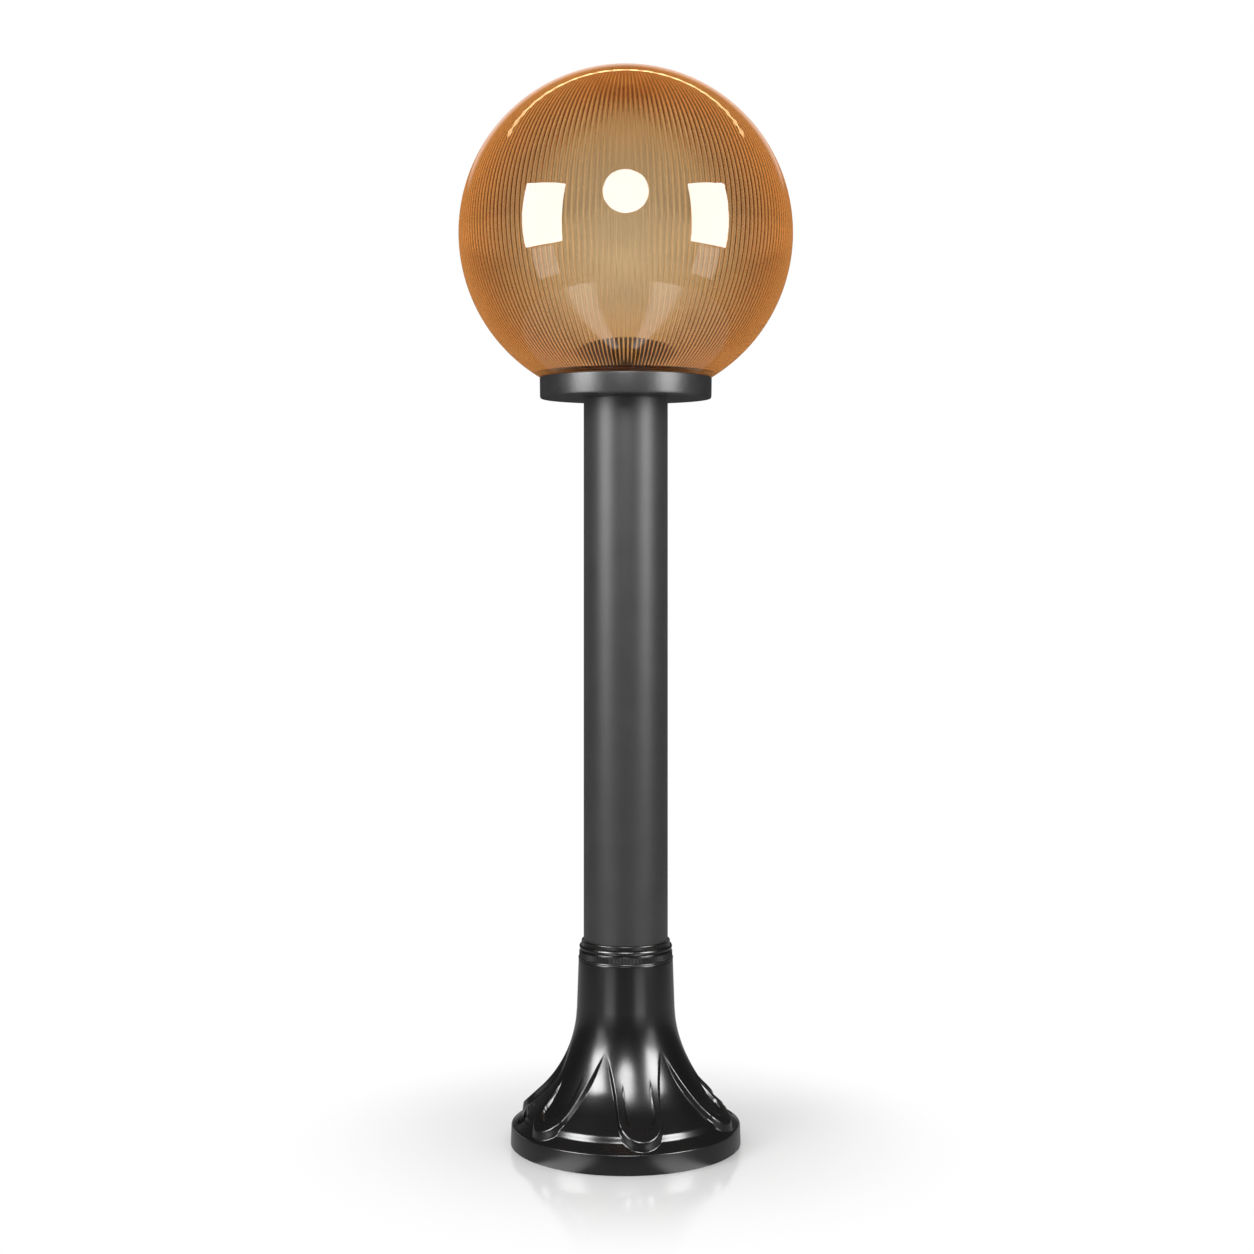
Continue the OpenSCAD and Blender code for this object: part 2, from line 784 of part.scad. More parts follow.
// Strip that lies on the insert and springs back over itself to the middle
module centre_contact() {
    color("#d0b060")
    contact_strip([
        [contact_x + 3, 0], [-2, 0], [-3, 1.5], [3, contact_rise], [3.2, contact_rise - contact_t],
        [-2, 1.5], [-1.6, contact_t], [contact_x + 3, contact_t]
    ], contact_x);
}

// Strip with a tongue that stands up just below the screw shell
module side_contact() {
    tongue_x = -lamp_thread_d / 2 + 0.7;
    color("#d0b060")
    contact_strip([
        [-contact_x + 3, 0], [tongue_x, 0], [tongue_x, contact_rise],
        [tongue_x + contact_t, contact_rise], [tongue_x + contact_t, contact_t],
        [-contact_x + 3, contact_t]
    ], -contact_x);
}

module contact_screws() {
    color("#c9b36a")
    for (side = [-1, 1])
        translate([side * contact_x, 0, barrel_bottom + contact_t])
            screw(clamp_screw_d, insert_t + contact_t);
}

module at_poles() {
    for (side = [-1, 1]) translate([side * pole_pitch / 2, block_y, 0]) children();
}

module at_clamps() {
    at_poles() for (side = [-1, 1]) translate([0, side * (block_w - 1) / 4, 0]) children();
}

// Cylinder along each pole, through the terminal block
module pole_bars(d, len) {
    at_poles()
        translate([0, 0, pole_z])
            rotate([90, 0, 0]) cylinder(d = d, h = len, center = true);
}

module terminal_block() {
    tower_w = pole_d + 1.6;
    screw_way_d = clamp_screw_d + 0.4;
    color("#f0efe9")
    difference() {
        union() {
            translate([-block_l / 2, block_y - block_w / 2, floor_top])
                cube([block_l, block_w, block_base_h]);
            at_poles()
                translate([-tower_w / 2, -block_w / 2, floor_top]) cube([tower_w, block_w, block_h]);
        }
        pole_bars(pole_d, 2 * block_w);
        at_clamps() translate([0, 0, pole_z]) cylinder(d = screw_way_d, h = block_h);
        translate([0, block_y, floor_top - eps]) cylinder(d = screw_way_d, h = block_h);
    }
}

module terminal_inserts() {
    color("#c9b36a")
    difference() {
        pole_bars(pole_d, block_w - 1);
        pole_bars(pole_bore_d, block_w);
        at_clamps() translate([0, 0, pole_z]) cylinder(d = clamp_screw_d, h = pole_d);
    }
}

module terminal_screws() {
    screw_bottom = pole_z + lead_d / 2 + ring_fit;
    color("silver")
    at_clamps()
        translate([0, 0, screw_bottom])
            cylinder(d = clamp_screw_d, h = floor_top + block_h - 1 - screw_bottom);
}

module block_screw() {
    color("silver")
    translate([0, block_y, floor_top + block_base_h])
        screw(clamp_screw_d, block_base_h + collar_floor - 1.5);
}

// Smooth curve through the points, with n steps between two of them
function smooth_path(p, n) = [
    for (i = [0:len(p) - 2]) for (k = [0:n - 1])
        let (a = p[max(i - 1, 0)], b = p[i], c = p[i + 1], d = p[min(i + 2, len(p) - 1)], t = k / n)
            b + t * (c - a) / 2 + t ^ 2 * (2 * a - 5 * b + 4 * c - d) / 2
              + t ^ 3 * (3 * b - a - 3 * c + d) / 2,
    p[len(p) - 1]
];
function unit(v) = v / norm(v);
function tangent(p, i) = unit(p[min(i + 1, len(p) - 1)] - p[max(i - 1, 0)]);

// Round tube along the path, whose rings keep one side towards +X
module swept_tube(p, d, sides) {
    step = 360 / sides;
    rings = [for (i = [0:len(p) - 1])
        let (t = tangent(p, i), u = unit(cross(t, cross([1, 0, 0], t))), v = cross(t, u))
            for (s = [0:sides - 1]) p[i] + d / 2 * (cos(s * step) * u + sin(s * step) * v)];
    last = len(p) - 1;
    polyhedron(
        points = rings,
        faces = concat(
            [[for (s = [0:sides - 1]) sides - 1 - s]],
            [for (i = [0:last - 1], s = [0:sides - 1])
                let (a = i * sides, b = a + sides, n = (s + 1) % sides) [a + s, a + n, b + n, b + s]],
            [[for (s = [0:sides - 1]) last * sides + s]]
        )
    );
}

// Route of the lead on one side, from the terminal block down under the strap and up the nipple
function lead_route(side) = [
    [side * pole_pitch / 2, block_y - block_w / 4, pole_z],
    [side * pole_pitch / 2, block_y - block_w / 2 - 3, pole_z],
    [side * pole_pitch / 3, cup_r - 8, floor_top - 1],
    [side * 2.5, 6, nipple_bottom - 5],
    [side * lead_x, 0.5, nipple_bottom - 5],
    [side * lead_x, 0, nipple_bottom],
    [side * lead_x, 0, nipple_top],
    [side * (contact_x - 1), 0, insert_bottom - lead_d / 2 - 0.3]
];

module live_lead() {
    color("#8a5a33") swept_tube(smooth_path(lead_route(1), 4), lead_d, 8);
}

module neutral_lead() {
    color("#3f6fb0") swept_tube(smooth_path(lead_route(-1), 4), lead_d, 8);
}

foot();
post_tube();
lower_gasket();
upper_gasket();
collar();
globe();
globe_gasket();
tie_rod();
rod_top_washer();
rod_top_nut();
rod_bottom_washer();
rod_bottom_nut();
cable_grommet();
holder_strap();
strap_screws();
holder_nipple();
nipple_nut();
holder_cap();
holder_barrel();
holder_insert();
thread_shell();
centre_contact();
side_contact();
contact_screws();
terminal_block();
terminal_inserts();
terminal_screws();
block_screw();
live_lead();
neutral_lead();
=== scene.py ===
"""Garden light post with a ribbed amber globe, dressed for a plain studio photograph.

Lengths in the classes are millimetres; meshes are written in metres, in the frame of the
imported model: +Z up the post, the ground at z = 0 and a leaf of the foot towards -Y.
"""
import json
import logging
import math
from dataclasses import dataclass, field
from enum import Enum
from typing import Any

import bpy
import numpy as np
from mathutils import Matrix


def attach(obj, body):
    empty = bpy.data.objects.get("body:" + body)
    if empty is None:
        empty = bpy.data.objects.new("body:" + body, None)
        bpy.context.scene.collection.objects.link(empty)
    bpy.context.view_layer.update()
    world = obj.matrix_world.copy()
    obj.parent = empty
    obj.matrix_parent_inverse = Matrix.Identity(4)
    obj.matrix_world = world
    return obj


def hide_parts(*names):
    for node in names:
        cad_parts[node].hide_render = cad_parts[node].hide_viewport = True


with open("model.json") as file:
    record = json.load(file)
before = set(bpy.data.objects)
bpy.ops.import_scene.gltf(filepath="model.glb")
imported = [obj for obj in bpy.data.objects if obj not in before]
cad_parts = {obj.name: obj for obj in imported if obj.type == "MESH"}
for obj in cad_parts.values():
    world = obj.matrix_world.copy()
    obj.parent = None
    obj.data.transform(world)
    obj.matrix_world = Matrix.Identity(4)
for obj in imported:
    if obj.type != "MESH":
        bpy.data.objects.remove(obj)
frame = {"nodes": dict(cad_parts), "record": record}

LOG = logging.getLogger("light_post")
MM = 0.001
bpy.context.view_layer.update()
GLOBE_MIDDLE = 0.68  # metres above the ground, the point that the lamps face
LUG_DIRECTIONS = (90, 210, 330)  # degrees round the axis, for the globe's lugs and their ramps
BRUSHED = 24.0  # how many times longer than high the marks of a brushed surface are


# Helpers for colours and shader nodes

def linear(hex_colour: str) -> tuple[float, float, float, float]:
    """Turns an sRGB hex colour to linear light.

    Args:
        hex_colour: Six hex digits, such as "c9863f".

    Returns:
        Red, green, blue and alpha, each from 0 to 1.
    """
    parts = [int(hex_colour[i:i + 2], 16) / 255 for i in (0, 2, 4)]
    r, g, b = (c / 12.92 if c <= 0.04045 else ((c + 0.055) / 1.055) ** 2.4 for c in parts)
    return r, g, b, 1.0


def add(tree: bpy.types.NodeTree, kind: str, settings: dict[Any, Any] | None = None,
        links: dict[Any, Any] | None = None) -> bpy.types.Node:
    """Adds one node with its settings and its incoming links.

    Args:
        tree: The node tree.
        kind: The node's type name, without "ShaderNode".
        settings: Values by input name or number, or by the node's own attribute.
        links: Output sockets by input name or number.

    Returns:
        The new node.
    """
    node = tree.nodes.new("ShaderNode" + kind)
    for key, value in (settings or {}).items():
        if isinstance(key, int) or key in node.inputs:
            node.inputs[key].default_value = value
        else:
            setattr(node, key, value)
    for key, socket in (links or {}).items():
        tree.links.new(socket, node.inputs[key])
    return node


def new_tree(name: str) -> tuple[bpy.types.Material, bpy.types.NodeTree]:
    """Makes a material with an empty node tree.

    Args:
        name: The material's name.

    Returns:
        The material and its tree.
    """
    material = bpy.data.materials.new(name)
    material.use_nodes = True
    material.node_tree.nodes.clear()
    return material, material.node_tree


# Finishes

class Grain(Enum):
    """How a surface's fine relief lies."""

    SPECKLED = "speckled"
    BRUSHED_ROUND = "brushed round the axis"


@dataclass(frozen=True)
class Finish:
    """An opaque finish: a base colour with mottling, uneven gloss and a fine relief.

    Attributes:
        name: The material's common name and how its surface was made.
        colour: sRGB hex of the base colour.
        shade: sRGB hex of the mottled second colour.
        roughness: Middle of the roughness.
        spread: How far the roughness strays from its middle.
        metallic: 1 for bare metal.
        ior: Index of refraction; a metal keeps the default.
        mottle_mm: Size of the colour's patches.
        grain_mm: Size of the relief's grains.
        relief_mm: Height of the relief.
        grain: How the relief lies.
        sheen: Weight of the soft glow of powdery or rubbery surfaces.
    """

    name: str
    colour: str
    shade: str
    roughness: float
    spread: float = 0.06
    metallic: float = 0.0
    ior: float = 1.5
    mottle_mm: float = 12.0
    grain_mm: float = 0.6
    relief_mm: float = 0.01
    grain: Grain = Grain.SPECKLED
    sheen: float = 0.0

    def stretch(self) -> tuple[float, float, float]:
        """Gives the pattern's scale along X, Y and Z."""
        return 1.0, 1.0, BRUSHED if self.grain is Grain.BRUSHED_ROUND else 1.0

    def material(self) -> bpy.types.Material:
        """Builds the material from noise on Object coordinates.

        Returns:
            The finished material.
        """
        material, tree = new_tree(self.name)
        place = add(tree, "TexCoord").outputs["Object"]
        turned = add(tree, "Mapping", {"Scale": self.stretch()}, {"Vector": place}).outputs[0]
        patches = add(tree, "TexNoise", {"Scale": 1 / (self.mottle_mm * MM), "Detail": 5.0},
                      {"Vector": turned}).outputs["Fac"]
        grains = add(tree, "TexNoise", {"Scale": 1 / (self.grain_mm * MM), "Detail": 3.0},
                     {"Vector": turned}).outputs["Fac"]
        tone = add(tree, "MapRange", {"From Min": 0.3, "From Max": 0.7}, {"Value": patches})
        colour = add(tree, "Mix", {"data_type": "RGBA", 6: linear(self.colour),
                                   7: linear(self.shade)}, {"Factor": tone.outputs[0]})
        low, high = self.roughness - self.spread, self.roughness + self.spread
        gloss = add(tree, "MapRange", {"From Min": 0.25, "From Max": 0.75, "To Min": low,
                                       "To Max": high}, {"Value": grains})
        bump = add(tree, "Bump", {"Strength": 1.0, "Distance": self.relief_mm * MM},
                   {"Height": grains})
        shader = add(tree, "BsdfPrincipled",
                     {"Metallic": self.metallic, "IOR": self.ior,
                      "Sheen Weight": self.sheen},
                     {"Base Color": colour.outputs[2], "Roughness": gloss.outputs[0],
                      "Normal": bump.outputs[0]})
        add(tree, "OutputMaterial", links={"Surface": shader.outputs[0]})
        return material


@dataclass(frozen=True)
class ClearAcrylic:
    """Moulded PMMA, dyed amber through and through: a faultless gloss that mirrors the
    lamps sharply, and a tan that deepens to a glowing orange along the wall.

    Attributes:
        name: The material's name.
        ior: Index of refraction of acrylic.
        face: sRGB hex of the tint where the eye meets the wall squarely.
        rim: sRGB hex of the tint where the eye looks along the wall.
        glow: sRGB hex of the light that the dye scatters.
        haze: Share of scattered light where the eye meets the wall squarely.
        rim_haze: Share of scattered light where the eye looks along the wall.
        pass_colour: Share of red, green and blue that the dye lets pass.
        density: Strength of the dye, per metre.
        flow_mm: Length of the faint flow marks of the moulding.
    """

    name: str = "amber moulded acrylic"
    ior: float = 1.49
    face: str = "ffffff"
    rim: str = "fcd8a4"
    glow: str = "ffa850"
    haze: float = 0.0
    rim_haze: float = 0.35
    pass_colour: tuple[float, float, float, float] = (0.85, 0.56, 0.06, 1.0)
    density: float = 225.0
    flow_mm: float = 60.0

    def material(self) -> bpy.types.Material:
        """Builds clear acrylic over an absorbing volume.

        Returns:
            The finished material.
        """
        material, tree = new_tree(self.name)
        place = add(tree, "TexCoord").outputs["Object"]
        flow = add(tree, "TexNoise", {"Scale": 1 / (self.flow_mm * MM), "Detail": 1.0},
                   {"Vector": place}).outputs["Fac"]
        gloss = add(tree, "MapRange", {"From Min": 0.3, "From Max": 0.7, "To Min": 0.0,
                                       "To Max": 0.035}, {"Value": flow})
        bump = add(tree, "Bump", {"Strength": 0.25, "Distance": 0.1 * MM}, {"Height": flow})
        along = add(tree, "LayerWeight", {"Blend": 0.5}).outputs["Facing"]
        depth = add(tree, "MapRange", {"From Min": 0.0, "From Max": 0.6}, {"Value": along})
        tint = add(tree, "Mix", {"data_type": "RGBA", 6: linear(self.face), 7: linear(self.rim)},
                   {"Factor": depth.outputs[0]})
        shader = add(tree, "BsdfPrincipled",
                     {"IOR": self.ior, "Transmission Weight": 1.0},
                     {"Base Color": tint.outputs[2], "Roughness": gloss.outputs[0],
                      "Normal": bump.outputs[0]})
        scattered = add(tree, "BsdfDiffuse", {"Color": linear(self.glow)})
        milk = add(tree, "MapRange", {"From Min": 0.3, "From Max": 1.0, "To Min": self.haze,
                                      "To Max": self.rim_haze,
                                      "interpolation_type": "SMOOTHSTEP"}, {"Value": along})
        wall = add(tree, "MixShader", links={0: milk.outputs[0], 1: shader.outputs[0],
                                             2: scattered.outputs[0]})
        dye = add(tree, "VolumeAbsorption", {"Color": self.pass_colour,
                                             "Density": self.density})
        add(tree, "OutputMaterial", links={"Surface": wall.outputs[0],
                                           "Volume": dye.outputs[0]})
        return material


# Moulded glass-filled nylon: satin black that shows soft pale highlights and a faint texture
FOOT_BLACK = Finish("satin moulded nylon", "080809", "0d0d0e", 0.24, 0.02, ior=1.6,
                    mottle_mm=40, grain_mm=0.9, relief_mm=0.002)
# Powder-coated aluminium tube: dark grey, with the coat's fine orange peel blurring the lamps
POST_COAT = Finish("powder coated aluminium", "29292a", "303031", 0.44, 0.05, ior=1.42,
                   mottle_mm=30, grain_mm=0.8, relief_mm=0.012, sheen=0.05)
# Moulded ABS with a spark-eroded grain: a dark grey that sparkles finely where lamps graze it
COLLAR_GREY = Finish("grained moulded ABS", "262628", "303032", 0.36, 0.12, ior=1.46,
                     mottle_mm=20, grain_mm=0.7, relief_mm=0.05)
# EPDM rubber: dull black with a soft glow at grazing angles
BLACK_RUBBER = Finish("moulded rubber", "202021", "2a2a2b", 0.75, mottle_mm=5, grain_mm=0.3,
                      relief_mm=0.02, sheen=0.3)
# Silicone rubber: milky and soft, a little shiny
PALE_SILICONE = Finish("moulded silicone", "dcd8cf", "cfcabf", 0.5, mottle_mm=8,
                       grain_mm=0.5, sheen=0.2)
# Zinc-plated steel: bluish grey metal with fine drawing lines
ZINC_STEEL = Finish("zinc plated steel", "b9bcc0", "a3a7ab", 0.32, 0.1, metallic=1.0,
                    mottle_mm=3, grain_mm=0.25, relief_mm=0.008, grain=Grain.BRUSHED_ROUND)
# Galvanised steel strip: pale metal with cloudy spangle
STRAP_STEEL = Finish("galvanised steel strip", "c0c2c4", "9da0a3", 0.38, 0.1, metallic=1.0,
                     mottle_mm=4, grain_mm=0.4, relief_mm=0.01)
# Turned and stamped brass: warm yellow metal with fine tool marks
BRASS = Finish("turned brass", "d6b56a", "c29d52", 0.28, 0.08, metallic=1.0, mottle_mm=4,
               grain_mm=0.3, relief_mm=0.006, grain=Grain.BRUSHED_ROUND)
# Phenolic moulding: brownish black with a hard dull gloss
HOLDER_BLACK = Finish("phenolic moulding", "27211d", "2f2822", 0.3, 0.06, ior=1.6,
                      mottle_mm=6, grain_mm=0.4, relief_mm=0.01)
# Urea moulding: off-white with a low gloss
INSERT_WHITE = Finish("urea moulding", "e4e0d6", "d8d3c6", 0.35, ior=1.54, mottle_mm=6,
                      grain_mm=0.4, relief_mm=0.008)
# Silicone-insulated wire: brown and blue, soft and faintly dusty
LEAD_BROWN = Finish("brown wire insulation", "7a4a2a", "6a3f24", 0.5, mottle_mm=3,
                    grain_mm=0.2, sheen=0.2)
LEAD_BLUE = Finish("blue wire insulation", "3a62a4", "315690", 0.5, mottle_mm=3,
                   grain_mm=0.2, sheen=0.2)

FINISHES: dict[str, Finish | ClearAcrylic] = {
    "foot_black": FOOT_BLACK, "post_coat": POST_COAT, "collar_grey": COLLAR_GREY,
    "globe_amber": ClearAcrylic(), "gasket_black": BLACK_RUBBER,
    "gasket_white": PALE_SILICONE, "zinc_steel": ZINC_STEEL, "strap_steel": STRAP_STEEL,
    "brass": BRASS, "holder_black": HOLDER_BLACK, "insert_white": INSERT_WHITE,
    "lead_brown": LEAD_BROWN, "lead_blue": LEAD_BLUE,
}


# Surfaces

@dataclass
class Surface:
    """Points and faces of a mesh in the making, in millimetres."""

    points: np.ndarray = field(default_factory=lambda: np.zeros((0, 3)))
    quads: np.ndarray = field(default_factory=lambda: np.zeros((0, 4), int))
    tris: np.ndarray = field(default_factory=lambda: np.zeros((0, 3), int))

    def join(self, other: "Surface") -> "Surface":
        """Puts another surface beside this one.

        Args:
            other: The surface to add.

        Returns:
            Both as one.
        """
        shift = len(self.points)
        return Surface(np.vstack([self.points, other.points]),
                       np.vstack([self.quads, other.quads + shift]),
                       np.vstack([self.tris, other.tris + shift]))

    def volume(self) -> float:
        """Gives the signed volume: a sixth of the sum of a . (b x c) over its triangles.

        Returns:
            Cubic millimetres, negative where the faces point inwards.
        """
        tris = np.vstack([self.tris, self.quads[:, [0, 1, 2]], self.quads[:, [0, 2, 3]]])
        a, b, c = (self.points[tris[:, i]] for i in range(3))
        return float(np.einsum("ij,ij->i", a, np.cross(b, c)).sum() / 6)

    def outward(self) -> "Surface":
        """Turns the faces outwards.

        Returns:
            The same surface, turned where its volume is negative.
        """
        if self.volume() >= 0:
            return self
        return Surface(self.points, self.quads[:, ::-1], self.tris[:, ::-1])

    def build(self, name: str, slot: str, *nodes: str,
              crease: float = 42) -> bpy.types.Object:
        """Writes the mesh, dresses it and lets it stand for CAD nodes.

        Args:
            name: The piece's name.
            slot: The material slot that it takes its finish from.
            nodes: The CAD nodes that it replaces.
            crease: Angle in degrees past which an edge stays sharp.

        Returns:
            The piece.
        """
        mesh = bpy.data.meshes.new(name)
        faces = self.quads.tolist() + self.tris.tolist()
        mesh.from_pydata((self.points * MM).tolist(), [], faces)
        mesh.polygons.foreach_set("use_smooth", np.ones(len(mesh.polygons), bool))
        mesh.set_sharp_from_angle(angle=math.radians(crease))
        mesh.validate()
        mesh.materials.append(material_of(slot))
        piece = bpy.data.objects.new(name, mesh)
        bpy.context.scene.collection.objects.link(piece)
        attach(piece, "root")
        if nodes:
            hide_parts(*nodes)
        LOG.info("%s: %d points, %d faces", name, len(self.points), len(faces))
        return piece


def grid(points: np.ndarray, ring: bool) -> Surface:
    """Joins a grid of points into quads, closed round its columns.

    Args:
        points: Rows x columns x 3; the columns run round the axis.
        ring: Whether the last row joins the first one, as on a ring.

    Returns:
        The surface.
    """
    rows, cols = points.shape[:2]
    index = np.arange(rows * cols).reshape(rows, cols)
    top = index if ring else index[:-1]
    low = np.roll(index, -1, axis=0) if ring else index[1:]
    quads = np.stack([top, np.roll(top, -1, axis=1), np.roll(low, -1, axis=1), low], axis=-1)
    quads = quads.reshape(-1, 4)
    return Surface(points.reshape(-1, 3), quads)


def revolve(profile: np.ndarray, turn: np.ndarray) -> np.ndarray:
    """Turns a profile round the axis: (r, z) goes to (r cos t, r sin t, z).

    Args:
        profile: Points (r, z).
        turn: Angle t of each column.

    Returns:
        Rows x columns x 3.
    """
    r, z = profile[:, :1], profile[:, 1:]
    return np.stack([r * np.cos(turn), r * np.sin(turn), z + 0 * turn], axis=-1)


def round_steps(columns: int) -> np.ndarray:
    """Gives equal steps round a circle, in radians, without the last."""
    return np.linspace(0, 2 * np.pi, columns, endpoint=False)


def lathe(profile: np.ndarray, columns: int, centre: tuple[float, float] = (0, 0)) -> Surface:
    """Turns a closed profile round an upright axis.

    Args:
        profile: Points (r, z) round the section, none on the axis.
        columns: Number of steps round the axis.
        centre: Where the axis stands.

    Returns:
        The closed ring.
    """
    points = revolve(profile, round_steps(columns)) + [*centre, 0]
    return grid(points, True).outward()


def sector(r_in: float, r_out: float, low: float, high: float, middle: float,
           angle: float) -> Surface:
    """Makes a block bent round the axis: part of a ring, closed at both ends.

    Args:
        r_in: Inner radius.
        r_out: Outer radius.
        low: Height of the underside.
        high: Height of the top.
        middle: Direction of its middle, in degrees.
        angle: Angle that it spans, in degrees.

    Returns:
        The block.
    """
    steps = 16
    turn = np.linspace(middle - angle / 2, middle + angle / 2, steps + 1)
    turn = np.radians(turn)[:, None]
    r = np.array([r_in, r_out, r_out, r_in])
    z = np.array([low, low, high, high])
    points = np.stack([r * np.cos(turn), r * np.sin(turn), z + 0 * turn], axis=-1)
    side = grid(points, False)
    last = 4 * steps + np.arange(4)
    caps = np.array([[3, 2, 1, 0], last])
    return Surface(side.points, np.vstack([side.quads, caps])).outward()


def arc(centre: tuple[float, float], radius: float, start: float, end: float,
        count: int) -> np.ndarray:
    """Gives points of an arc in the plane of radius and height.

    Args:
        centre: Its centre (r, z).
        radius: Its radius.
        start: First direction, in degrees from outwards, upwards positive.
        end: Last direction.
        count: Number of points.

    Returns:
        Points (r, z).
    """
    turn = np.radians(np.linspace(start, end, count))
    return np.stack([centre[0] + radius * np.cos(turn), centre[1] + radius * np.sin(turn)], 1)


def ease(x: np.ndarray) -> np.ndarray:
    """Steps smoothly from 0 to 1 as x goes from 0 to 1, by x x (3 - 2 x)."""
    c = np.clip(x, 0, 1)
    return c * c * (3 - 2 * c)


def material_of(slot: str) -> bpy.types.Material:
    """Gives the material of a slot, made on its first use.

    Args:
        slot: The record's material slot.

    Returns:
        The material.
    """
    finish = FINISHES[slot]
    return bpy.data.materials.get(finish.name) or finish.material()


# Foot

@dataclass
class Foot:
    """The moulded foot: a flared skirt with six raised leaves, each with a trough, sunk
    panels between them, a rim, and mouldings round the socket at the top."""

    radius: float = 86.0
    height: float = 152.0
    neck_r: float = 35.3
    neck_top: float = 137.4
    tip_r: float = 83.0
    tip_z: float = 21.5
    draft: float = 2.0
    slant: float = 47.0
    flare_r: float = 91.0
    leaf_half: float = 16.5
    leaf_flare: float = 4.0
    arch_r: float = 60.0
    tip_centre: float = 66.5
    trough_half: float = 10.3
    trough_end: float = 65.2
    panel_depth: float = 3.0
    trough_depth: float = 2.0
    sink_run: float = 32.0
    apex_r: float = 41.0
    trough_top_r: float = 48.0
    panel_end_r: float = 75.5
    wall: float = 3.6
    socket_r: float = 31.7
    anchor_r: float = 75.0
    knurl_count: int = 78
    knurl_r: float = 34.2
    knurl_depth: float = 0.7
    leaves: int = 6

    def flare(self, u: np.ndarray, depth: np.ndarray) -> np.ndarray:
        """Follows the neck's line, an arc and the skirt's line.

        At arc length u below the flare's start the slope is a = draft + u / flare_r, held
        between draft and slant; the point moves inwards by depth along (cos a, sin a).

        Args:
            u: Arc lengths.
            depth: How far each point sinks under the surface.

        Returns:
            Points (r, z).
        """
        d, s = math.radians(self.draft), math.radians(self.slant)
        fall = (self.neck_top - self.tip_z) * math.tan(s) - (self.tip_r - self.neck_r)
        run = fall / (math.cos(d) * math.tan(s) - math.sin(d))
        run -= self.flare_r * math.tan((s - d) / 2)
        start = np.array([self.neck_r + run * math.sin(d), self.neck_top - run * math.cos(d)])
        centre = start + self.flare_r * np.array([math.cos(d), math.sin(d)])
        a = np.clip(d + u / self.flare_r, d, s)
        normal = np.stack([np.cos(a), np.sin(a)], 1)
        over = np.clip(u - self.flare_r * (s - d), 0, None)[:, None]
        under = np.clip(u, None, 0)[:, None]
        along = over * [math.sin(s), -math.cos(s)] + under * [math.sin(d), -math.cos(d)]
        return centre - (self.flare_r + depth[:, None]) * normal + along

    def profiles(self, r: np.ndarray) -> tuple[np.ndarray, np.ndarray, np.ndarray]:
        """Gives the heights of panel, leaf and trough at radius r.

        Args:
            r: Radii in plan.

        Returns:
            The three heights.
        """
        u = np.linspace(0, 120, 1201)
        surface = self.flare(u, 0 * u)
        panel_u = np.interp(self.apex_r, surface[:, 0], u)
        trough_u = np.interp(self.trough_top_r, surface[:, 0], u)
        panel = self.flare(u, self.panel_depth * ease((u - panel_u) / self.sink_run))
        trough = self.flare(u, self.trough_depth * ease((u - trough_u) / self.sink_run))
        kept = panel[panel[:, 0] < self.panel_end_r]
        rim = np.vstack([kept, [[77.0, 20.5]], arc((83.1, 13.6), 1.6, 60, 15, 5)])
        # The panel meets the rim in a soft bend: its heights are blurred over about 0.4 mm
        step, blur, side = 0.05, 0.4, 24
        fine = np.linspace(30, self.radius, 1121)
        smooth = np.interp(fine, rim[:, 0], rim[:, 1])
        weights = np.exp(-0.5 * (np.arange(-side, side + 1) * step / blur) ** 2)
        padded = np.pad(smooth, side, mode="edge")
        smooth = np.convolve(padded, weights / weights.sum(), mode="valid")
        return (np.interp(r, fine, smooth), np.interp(r, surface[:, 0], surface[:, 1]),
                np.interp(r, trough[:, 0], trough[:, 1]))

    def half_width(self, x: np.ndarray) -> np.ndarray:
        """Gives a leaf's half width: straight near its tip, flaring in an arc above.

        Args:
            x: Distances along the leaf's middle line, from the axis.

        Returns:
            The half widths.
        """
        reach = math.sqrt(self.arch_r ** 2 - (self.arch_r - self.leaf_flare) ** 2)
        start = self.apex_r * math.cos(math.radians(30)) + reach
        back = np.clip(start - x, 0, reach)
        return self.leaf_half + self.arch_r - np.sqrt(self.arch_r ** 2 - back ** 2)

    def edge_angle(self, r: np.ndarray) -> np.ndarray:
        """Finds where a circle of radius r crosses a leaf's edge.

        On the long side y = half_width(x) is solved by six rounds of sin a = y / r, and on
        the round tip by the cosine rule.

        Args:
            r: Radii in plan.

        Returns:
            Angles from the leaf's middle, in radians.
        """
        side = np.full(r.shape, 0.4)
        for _ in range(6):
            side = np.arcsin(np.clip(self.half_width(r * np.cos(side)) / r, 0, 0.5))
        tip = (r ** 2 + self.tip_centre ** 2 - self.leaf_half ** 2) / (2 * r * self.tip_centre)
        tip = np.arccos(np.clip(tip, -1, 1))
        angle = np.where(r * np.cos(side) > self.tip_centre, tip, side)
        return np.clip(angle, math.radians(3.2), math.radians(29.4))

    def columns(self, r: np.ndarray) -> np.ndarray:
        """Spreads columns over half a leaf's sector, close together along the leaf's edge.

        Args:
            r: Radius of each row.

        Returns:
            Rows x columns of angles from the leaf's middle, the last short of 30 degrees.
        """
        edge = self.edge_angle(r)[:, None]
        rest = math.radians(30) - edge
        band = np.minimum(1.7 / r[:, None], 0.4 * np.minimum(edge, rest))
        inner = np.array([0, .13, .26, .38, .47, .54, .59, .63, .67, .71, .76, .82, .88, .94])
        wall = np.array([-1, -.72, -.48, -.26, -.08, .1, .3, .6, 1])
        outer = np.array([.12, .24, .36, .46, .54, .6, .65, .69, .725, .745, .78, .86, .93])
        return np.hstack([inner * (edge - band), edge + band * wall,
                          edge + band + outer * (rest - band)])

